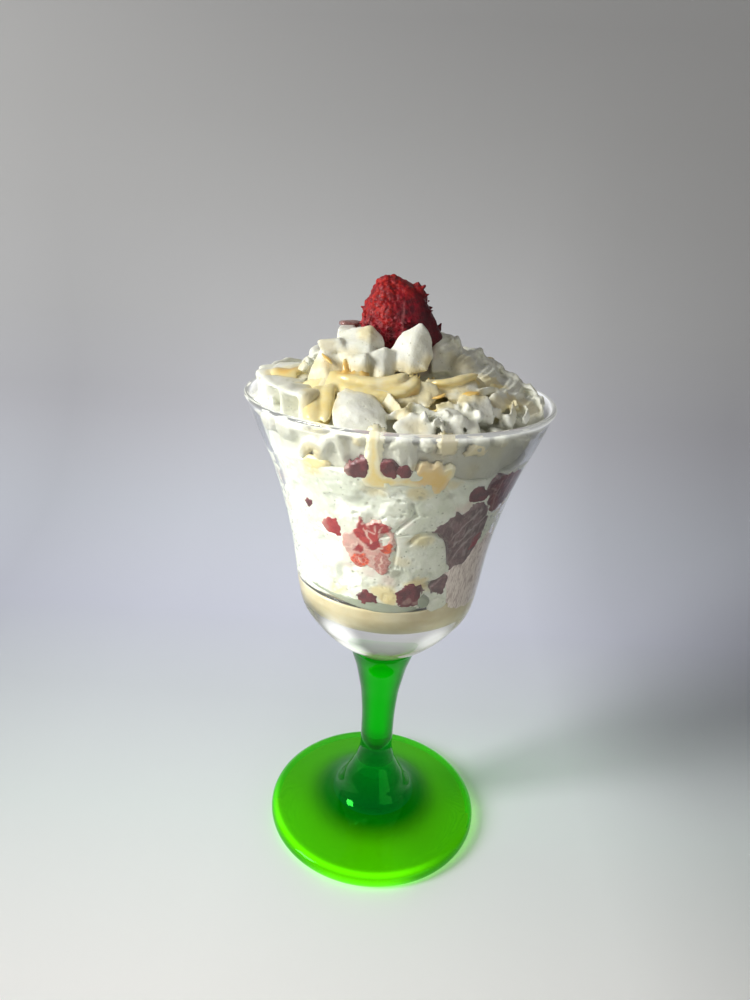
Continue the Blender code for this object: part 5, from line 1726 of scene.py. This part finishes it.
def piped_top():
    """The whole top: mound, block, shells, chunks, crests, lobes and frills in one skin."""
    pieces = [mound_body()] + piped_shells()
    for k, (corners, torn, soft) in enumerate(CHUNKS):
        pieces.append(chunk(corners, 50 + k, torn, soft))
    for k, (edge, tall, thick, lean) in enumerate(BLADES):
        pieces.append(blade(edge, tall, thick * 1.4, lean, 150 + k, 0.25))
    for k, (az, top, tip, width) in enumerate(LOBES):
        pieces.append(lobe(az, top, tip, width, 80 + k, lean=(1.5, -2.0, 0.5)[k % 3],
                           inward=0.0 if abs(az) < 60 else -0.5))
    for k, (path, half) in enumerate(CURLS):
        line = [(*polar(az, float(inner_r(z)) - half * 0.9), z) for az, z in path]
        radii = [half * f for f in (0.7, 1.0, 1.1, 1.1, 1.0, 0.7)]
        pieces.append(rope(line, radii, 5, 0.15, seed=180 + k, around=40))
    pieces += small_frills()
    rng = np.random.default_rng(77)
    for k, at in enumerate(along(STEPS, 34)):
        size = rng.uniform(0.45, 1.0)
        half_sizes = (size * 0.8, 2.6, size * 1.3)
        pieces.append(dollop(at - (0, 0, 0.2), half_sizes, 0, 400 + k, 0.0, lumpy=0.4, fine=2))
    for k, ends in enumerate(zip(STEPS[:-1], STEPS[1:])):
        corners = [(x, y + dy, z - dz) for x, y, z in ends for dy, dz in STEP_SECTION]
        pieces.append(chunk(corners, 480 + k, 0.25, 0.2))
    ob = fused("cream_top_piped", pieces, 0.42, PIPED_CREAM)
    modified(ob, 'SMOOTH', factor=0.5, iterations=3)
    p, n = places(ob), directions(ob)
    p = flattened_on_glass(p)
    p[:, 2] = np.maximum(p[:, 2], middle_top(p[:, 0], p[:, 1]) - 0.3)
    # crisp creases and crumbling on the right, calmer on the left block
    rough = 0.34 + 0.08 * step_up(-16.0, 8.0, p[:, 0])
    crease = 0.5 - np.abs(soft_noise(p, 2.2, 95))
    crumbs = 0.20 * soft_noise(p, 1.4, 91) + 0.10 * soft_noise(p, 0.8, 92) + 0.30 * crease
    grow = 0.22 * soft_noise(p, 3.6, 90) + rough * crumbs
    pits = 0.42 * step_down(0.10, 0.26, nearest_seed(p, 1.7, 93, 0.35))
    pits += 0.2 * step_down(0.12, 0.3, nearest_seed(p, 1.0, 94, 0.35))
    grow -= pits * (0.25 + 0.75 * (p[:, 2] < RIM_Z))
    behind_glass = (np.hypot(p[:, 0], p[:, 1]) > inner_r(p[:, 2]) - 0.3) & (p[:, 2] < RIM_Z)
    grow = np.where(behind_glass, np.minimum(grow, 0.0) * 0.8, grow)
    p = flattened_on_glass(p + n * grow[:, None])
    set_places(ob, p)
    modified(ob, 'DECIMATE', ratio=0.62)
    return ob


cream_top = piped_top()
print("piped cream:", sum(len(f.vertices) - 2 for f in cream_top.data.polygons), "triangles")

# %% [markdown]
# ## Custard over the cream
# Runny custard fills hollows and leaves crests bare. So we measure the cream's height on a
# fine grid from above, blur that height, and let the sauce stand at the blurred level where
# it was poured: it shows only where that level is above the cream. Thick ribbons are ropes
# without ridges. Where custard has soaked in, the cream itself carries a stain.

# %% Drizzle
# ribbons: a run of points and its half-widths
RIBBONS = (
    (((-15.4, -22.4, 153.2), (-11.7, -23.4, 152.8), (-8.0, -24.0, 152.4), (-4.6, -24.2, 152.6),
     (-1.4, -23.8, 153.2), (1.4, -22, 154.4)), (0.8, 1.5, 1.9, 2.1, 2.3, 1.4)),
    (((-18.6, -24.0, 150.6), (-20.2, -26.6, 149.2), (-20.4, -29.6, 147.4), (-20.0, -32.6, 145.8),
     (-18.8, -35.0, 144.4)), (1.2, 2.0, 2.2, 2.2, 1.6)),
    (((-16.0, -24.4, 151.2), (-17.0, -26.6, 150.0), (-16.8, -29.6, 148.2), (-16.8, -32.6, 146.6),
     (-16.8, -35.6, 144.6)), (1.2, 1.8, 1.8, 1.6, 1.4)),
    (((-20.2, -16.6, 157.2), (-18.4, -18.6, 156.2), (-16.6, -20.4, 155.0)), (0.5, 0.9, 0.5)),
    (((-14.2, -18.8, 156.8), (-13.6, -20.4, 155.0), (-13.2, -21.8, 152.8)), (0.5, 1.0, 1.0)),
    (((-9.8, -21.4, 154.6), (-8.6, -22.2, 153.0)), (0.5, 0.8)),
    (((7.2, -26.6, 149.8), (9.4, -26.8, 150.4), (11, -25.6, 151.2)), (0.7, 1.0, 0.7)),
    (((15.2, -25.2, 150.6), (17.6, -24.4, 151.0), (19.2, -22.6, 151.4)), (0.6, 1.0, 0.6)),
    (((-15.6, -23.6, 151.4), (-12, -25.4, 151.0), (-8, -26.6, 150.6), (-4, -27, 150.4),
     (-0.4, -26.4, 150.8), (2.2, -24.4, 152.0), (3.4, -20.8, 153.6)),
     (0.8, 1.5, 1.7, 1.9, 2.2, 2.4, 1.8)),
    (((7.0, -21.6, 152.6), (10.6, -21.4, 152.8), (14.6, -19.4, 153.4), (19.0, -15.6, 154.2)),
     (1.0, 1.6, 1.8, 1.2)),
)
# pools: line of (x, y), width, thickness
POOLS = (
    (((-15, -23), (-10, -25), (-4, -25.6), (1.6, -24.4), (3.6, -20)), 4.2, 2.4),
    (((-2.4, -25), (1.6, -26.4)), 3.6, 1.6), (((7.4, -20.6), (13, -20), (19, -15.4)), 3.0, 1.4),
    (((-16.4, -25), (-18.6, -28.5), (-19.4, -32), (-18.6, -35.5)), 2.6, 2.0),
    (((-20.4, -21.5), (-17.6, -21), (-14, -23.4)), 1.7, 1.0), (((-14.4, -21), (-13.6, -24)), 1.5, 1.6),
    (((-9, -20), (-8, -23.4)), 1.2, 1.4), (((-11.6, -9), (-9, -10.6)), 2.0, 0.5),
    (((-32, -11), (-28.4, -12.4), (-25.6, -10)), 3.4, 1.9), (((-24, -17), (-21.6, -20.4)), 1.2, 0.8),
    (((7.4, -28.6), (10.6, -27.4)), 1.7, 1.6), (((15.6, -24), (18.8, -22.6)), 1.7, 1.4),
    (((7, -19.4), (5.6, -15.8), (7.6, -14)), 1.6, 1.3), (((-0.4, -30.4), (1.8, -34)), 1.5, 1.0),
    (((22.6, -13), (25.6, -10.4)), 1.8, 1.1), (((27, -19), (29, -16.4)), 1.3, 0.9),
    (((-7, 16), (3, 20), (12, 17)), 2.6, 1.5), (((-18, 22), (-10, 27), (-2, 27)), 2.4, 1.5),
    (((20, 8), (26, 14)), 2.2, 1.3),
)


def height_from_above(ob, xs, ys):
    """Height of an object's top over each place of a grid."""
    tree = BVHTree.FromPolygons([v.co for v in ob.data.vertices], [p.vertices for p in ob.data.polygons])
    z = np.full((len(ys), len(xs)), 100.0)
    down = Vector((0, 0, -1))
    for i, y in enumerate(ys):
        for j, x in enumerate(xs):
            hit = tree.ray_cast(Vector((x * MM, y * MM, 0.2)), down)[0]
            if hit:
                z[i, j] = hit.z / MM
    return z


def blurred(grid, passes):
    """A grid smoothed over its neighbours, several times."""
    for _ in range(passes):
        pad = np.pad(grid, 1, mode='edge')
        grid = (pad[:-2, 1:-1] + pad[2:, 1:-1] + pad[1:-1, :-2] + pad[1:-1, 2:] + pad[1:-1, 1:-1]) / 5
    return grid


def poured(ob):
    """Custard poured over an object: pools by height field, ribbons as flattened ropes."""
    step = 0.4
    xs, ys = np.arange(-38, 38, step), np.arange(-38, 32, step)
    bare = height_from_above(ob, xs, ys)
    level = blurred(bare, 22)
    X, Y = np.meshgrid(xs, ys)
    at = np.stack([X, Y], axis=-1)
    thick = np.full(X.shape, -1.0)
    for line, wide, deep in POOLS:
        gap = line_distance(at, line)
        thick = np.maximum(thick, deep * (1 - (gap / wide) ** 2))
    flat = np.stack([X, Y, np.zeros_like(X)], axis=-1).reshape(-1, 3)
    thick += 0.25 * soft_noise(flat, 2.0, 120).reshape(X.shape)
    top = np.minimum(level - 0.9 + thick, bare + 1.5)
    kept = (thick > -0.25) & (top > bare - 0.8) & (bare > 140)
    front = np.stack([X, Y, top], axis=-1)
    back = np.stack([X, Y, np.minimum(top, bare) - 0.7], axis=-1)
    pieces = [slab("pool", front, back, kept)]
    for k, (path, radii) in enumerate(RIBBONS):
        pieces.append(rope(path, radii, groove=0.0, seed=130 + k, wobble=0.12, around=32, flat=0.55))
    poured_on = fused("custard_drizzle", pieces, 0.35, CUSTARD)
    modified(poured_on, 'SMOOTH', factor=0.5, iterations=14)
    p, n = places(poured_on), directions(poured_on)
    p = flattened_on_glass(p + n * (0.10 * soft_noise(p, 2.2, 133))[:, None], 0.12)
    set_places(poured_on, p)
    return poured_on


sauce = poured(cream_top)
print("custard:", len(sauce.data.polygons), "faces")

# %% Soaked cream and tones of the custard
# places where the cream is stained, and where the custard is deepest: x, y, z, radius, strength
STAINS_ABOVE = (
    (-19, -22, 152, 4.0, 0.35), (-17, -20, 156, 3.0, 0.4), (2, -18.5, 153, 2.6, 0.4),
    (16, -8, 156, 4.0, 0.35), (21, -14, 152, 4.0, 0.45), (-9, -14, 163, 2.8, 0.6),
    (-19, -17, 159, 2.4, 0.3), (-13, -18, 157, 3.0, 0.35), (0, -18, 154.4, 2.2, 0.5),
    (6.6, -16, 155, 2.6, 0.6), (24, -21, 147, 3.5, 0.4), (32, -15, 146, 3.0, 0.4), (4, -37, 145, 2.0, 0.4),
)
AMBER_SPOTS = (
    (-13, -21, 154, 3.4, 0.8), (-9, -21.8, 153.6, 2.4, 0.8), (9, -27, 150, 3.0, 0.8),
    (17, -24, 150.8, 2.8, 0.8), (-18.4, -18.4, 156, 2.6, 0.8), (3, -25.5, 150, 2.6, 0.8),
    (24, -12, 153, 2.6, 0.8), (-17, -30, 146, 2.6, 0.8), (6.5, -17, 153.6, 2.0, 0.8),
    (1, -32, 147.5, 2.0, 0.8), (-29, -11, 150.6, 4.2, 0.8),
)
# stains behind the glass: azimuth, height, radius
STAINS_AT_WALL = ((16, 140, 3.0), (-32, 136.5, 2.6), (10, 136, 2.4), (38, 139, 2.6), (-14, 141.5, 1.6),
                  (30, 134, 2.2), (120, 138, 4.0), (200, 139, 4.0))


def ragged_spread(p):
    """How unevenly a stain spreads, in millimetres."""
    return 0.9 * soft_noise(p, 2.4, 125) + 0.4 * soft_noise(p, 1.0, 126)


def soaked(p):
    """Where custard has soaked into the cream: round each pool and ribbon, and in spots."""
    spread = ragged_spread(p)
    mask = np.zeros(len(p))
    lines = [(line, wide) for line, wide, _ in POOLS]
    lines += [([(x, y) for x, y, _ in path], 2.4) for path, _ in RIBBONS]
    for line, wide in lines:
        gap = line_distance(p[:, :2], line) + spread
        mask = np.maximum(mask, 0.6 * step_down(wide * 0.6, wide * 1.1 + 0.9, gap))
    mask *= step_up(RIM_Z - 1.0, RIM_Z + 2.0, p[:, 2]) * step_down(154.6, 156.6, p[:, 2])
    mask = np.maximum(mask, near_spots(p, STAINS_ABOVE, 0.5, 1.4, spread))
    behind = [(*polar(a, float(inner_r(h))), h, radius, 0.7) for a, h, radius in STAINS_AT_WALL]
    return np.maximum(mask, near_spots(p, behind, 0.6, 1.4, spread))


def near_berry(p):
    """1 round the foot of the strawberry, where its juice runs."""
    gap = np.linalg.norm((p - np.array((-0.6, -3.0, 158.0))) * np.array((1, 1, 0.6)), axis=1)
    return step_down(8.5, 11.0, gap + ragged_spread(p))


at = places(cream_top)
# painted shade on the cream below the rim, darker on the right; stains of custard and juice
tint_masks(cream_top, custard_stain=soaked(at),
           dusk=(0.42 + 0.40 * right_side(at)) * step_down(RIM_Z - 2.0, RIM_Z, at[:, 2]),
           juice_stain=0.35 * near_berry(at))
at = places(sauce)
tint_masks(sauce, amber=near_spots(at, AMBER_SPOTS, 0.35, 0.0, 0.7 * soft_noise(at, 1.8, 128)),
           creamy=0.6 * step_up(0.1, 0.9, soft_noise(at, 3.4, 129)) * step_up(-13, -8, at[:, 0]))
belongs(cream_top, "whipped_cream", "cream_top")
belongs(sauce, "custard", "cream_top")

# %% [markdown]
# ## The strawberry on top
# It is a strawberry cut open and stood on end: a dome with a second, smaller lobe, torn wet
# flesh on the left and a smoother side with tiny spikes on the right, darkened by painted
# shade; the left and the top carry painted light. Rings of a rough form come first. Lobes,
# flaps and spikes are fused on, and then the surface is pushed in and out round scattered
# points, which gives the knobbly, shredded look.

# %% Strawberry on top
BERRY_AT = np.array((-0.6, -3.0, 153.0))
SLICE_AT = np.array((-14.6, 0.5, 161.5))
# rings of the strawberry: height, half-width across, half-width in depth, shift to the right
BERRY_ROWS = ((0.0, 4.0, 3.5, 0.0), (3.5, 7.0, 5.8, 0.0), (7.5, 9.8, 7.2, 0.2), (11.0, 9.2, 7.4, -0.7),
              (14.5, 8.3, 6.9, -1.6), (18.0, 6.5, 5.6, -1.9), (20.6, 4.4, 4.0, -3.0), (22.3, 1.6, 1.6, -3.8))


def spike(at, way, long, wide):
    """A thin tapering flake that points along way."""
    way = np.array(way, float) / np.linalg.norm(way)
    start = np.array(at, float) - way * long * 0.5
    return rope([start, start + way * long * 0.75, start + way * long * 1.5],
                [wide, wide * 0.7, wide * 0.15], teeth=3, groove=0.3, count=12, around=16)


# flakes that stick out: place, direction, length, width
SPIKES = (
    ((-10.2, -4.5, 167.0), (-1, -0.3, 0.35), 1.7, 0.9), ((-10.4, -4.0, 163.4), (-1, -0.2, -0.1), 1.3, 0.9),
    ((-9.6, -6.0, 160.8), (-1, -0.6, -0.3), 1.4, 0.8), ((8.6, -3.5, 162.6), (0.4, -0.1, 1.0), 2.1, 1.0),
    ((8.2, -3.0, 160.8), (1, -0.3, -0.2), 1.6, 1.2), ((4.6, -4.0, 171.0), (1, -0.2, 0.5), 1.2, 0.6),
    ((3.8, -3.8, 172.8), (0.8, -0.2, 0.8), 1.1, 0.6), ((6.0, -3.8, 168.0), (1, -0.3, 0.3), 1.1, 0.6),
)


def crown_berry():
    """The strawberry: a dome with lobes, flakes and a knobbly, shredded surface."""
    heights, wide_x, wide_y, shift = np.array(BERRY_ROWS).T
    zs = np.linspace(0.0, heights[-1], 60)
    rx, ry = smooth_line(heights, wide_x)(zs), smooth_line(heights, wide_y)(zs)
    sx = np.interp(zs, heights, shift)
    around = 90
    a = np.linspace(0, math.tau, around, endpoint=False)
    rings = []
    for z, x_half, y_half, move in zip(zs, rx, ry, sx):
        r = 1 + 0.07 * np.cos(3 * a + math.pi / 2) + 0.03 * np.sin(5 * a + 0.3 * z)
        ring = (x_half * np.cos(a) * r + move, y_half * np.sin(a) * r, np.full(around, z))
        rings.append(np.stack(ring, axis=-1) + BERRY_AT)
    pieces = [closed_skin("berry", rings),
              dollop((2.5, -2.6, 170.2), (2.5, 2.8, 3.5), 0, 301, 0.3, lumpy=0.3),
              dollop((-8.4, -7.0, 162.2), (2.6, 2.4, 3.0), 0, 302, 0.0, lumpy=0.3),
              dollop((-9.6, -5.0, 165.6), (1.6, 2.0, 1.6), 0, 303, 0.0, lumpy=0.3)]
    rng = np.random.default_rng(9)
    pieces += [spike(at, way, long, wide) for at, way, long, wide in SPIKES]
    for k in range(46):
        turn, z = rng.uniform(0, math.tau), rng.uniform(4, 19)
        x_half, y_half = float(np.interp(z, heights, wide_x)), float(np.interp(z, heights, wide_y))
        at = BERRY_AT + np.array((x_half * math.cos(turn), y_half * math.sin(turn), z))
        way = (math.cos(turn), math.sin(turn), rng.uniform(-0.4, 0.5))
        pieces.append(spike(at, way, rng.uniform(0.5, 0.95), rng.uniform(0.35, 0.6)))
    ob = fused("strawberry_crown", pieces, 0.26, CROWN_BERRY)
    p, n = places(ob), directions(ob)
    torn = step_down(-3.5, 1.5, p[:, 0])
    knob = nearest_seed(p, 1.9, 310)
    small = nearest_seed(p, 0.95, 311)
    grow = (0.25 + 0.65 * torn) * (0.55 - knob) + (0.10 + 0.36 * torn) * (0.5 - small)
    grow += 0.22 * soft_noise(p, 4.0, 312)
    p = p + n * grow[:, None]
    set_places(ob, p)
    left, right = step_down(-5.0, -0.5, p[:, 0]), step_up(0.5, 5.0, p[:, 0])
    high = step_up(168.0, 173.5, p[:, 2])
    frayed = np.linalg.norm((p - np.array((-8.2, -9.0, 160.0))) / np.array((3.2, 3.0, 1.5)), axis=1)
    # a narrow upright strip of painted glint, mixed in with the pale flesh
    painted_glint_strip = np.linalg.norm((p - np.array((-0.6, -9.6, 166.2))) / np.array((0.4, 3.0, 3.4)), axis=1)
    # painted light on the left, towards the window, and on top; painted shade on the right
    tint_masks(ob, bright=np.maximum(0.9 * left * step_up(160, 167, p[:, 2]), 0.6 * high),
               fibres=0.22 * left * step_down(164, 168, p[:, 2]) + 0.03,
               streaks=np.zeros(len(p)),
               pale=np.maximum(0.8 * step_down(0.7, 1.15, frayed + 0.3 * soft_noise(p, 0.9, 313)),
                               0.4 * step_down(0.5, 1.3, painted_glint_strip + 0.4 * soft_noise(p, 0.7, 314))),
               shade=0.75 * right * (1 - 0.6 * high))
    return ob


def thin_slice():
    """The small slice that lies on a block of cream, left of the strawberry."""
    rings = []
    a = np.linspace(0, math.tau, 48, endpoint=False)
    wave = 1 + 0.08 * np.sin(3 * a + 1) + 0.05 * np.sin(5 * a)
    for r, z in ((0.4, 0.0), (2.0, 0.0), (2.4, 0.15), (2.6, 0.6), (2.5, 1.1), (2.1, 1.4), (0.5, 1.5)):
        ring = (r * wave * np.cos(a) * 1.15, r * wave * np.sin(a), z + 0.12 * np.sin(2 * a))
        rings.append(np.stack(ring, axis=-1) + SLICE_AT)
    ob = closed_skin("strawberry_slice_thin", rings, MAROON_BERRY)
    p = places(ob) - SLICE_AT
    rim, full = np.hypot(p[:, 0], p[:, 1]), np.ones(len(p))
    tint_masks(ob, bright=0.2 * full, fibres=0.4 * full, streaks=0.5 * full,
               pale=0.35 + 0.3 * step_down(0.4, 1.8, rim), shade=0.0 * full)
    return ob


belongs(crown_berry(), "strawberry_flesh", "strawberry_top")
belongs(thin_slice(), "strawberry_shaded", "strawberry_slice")
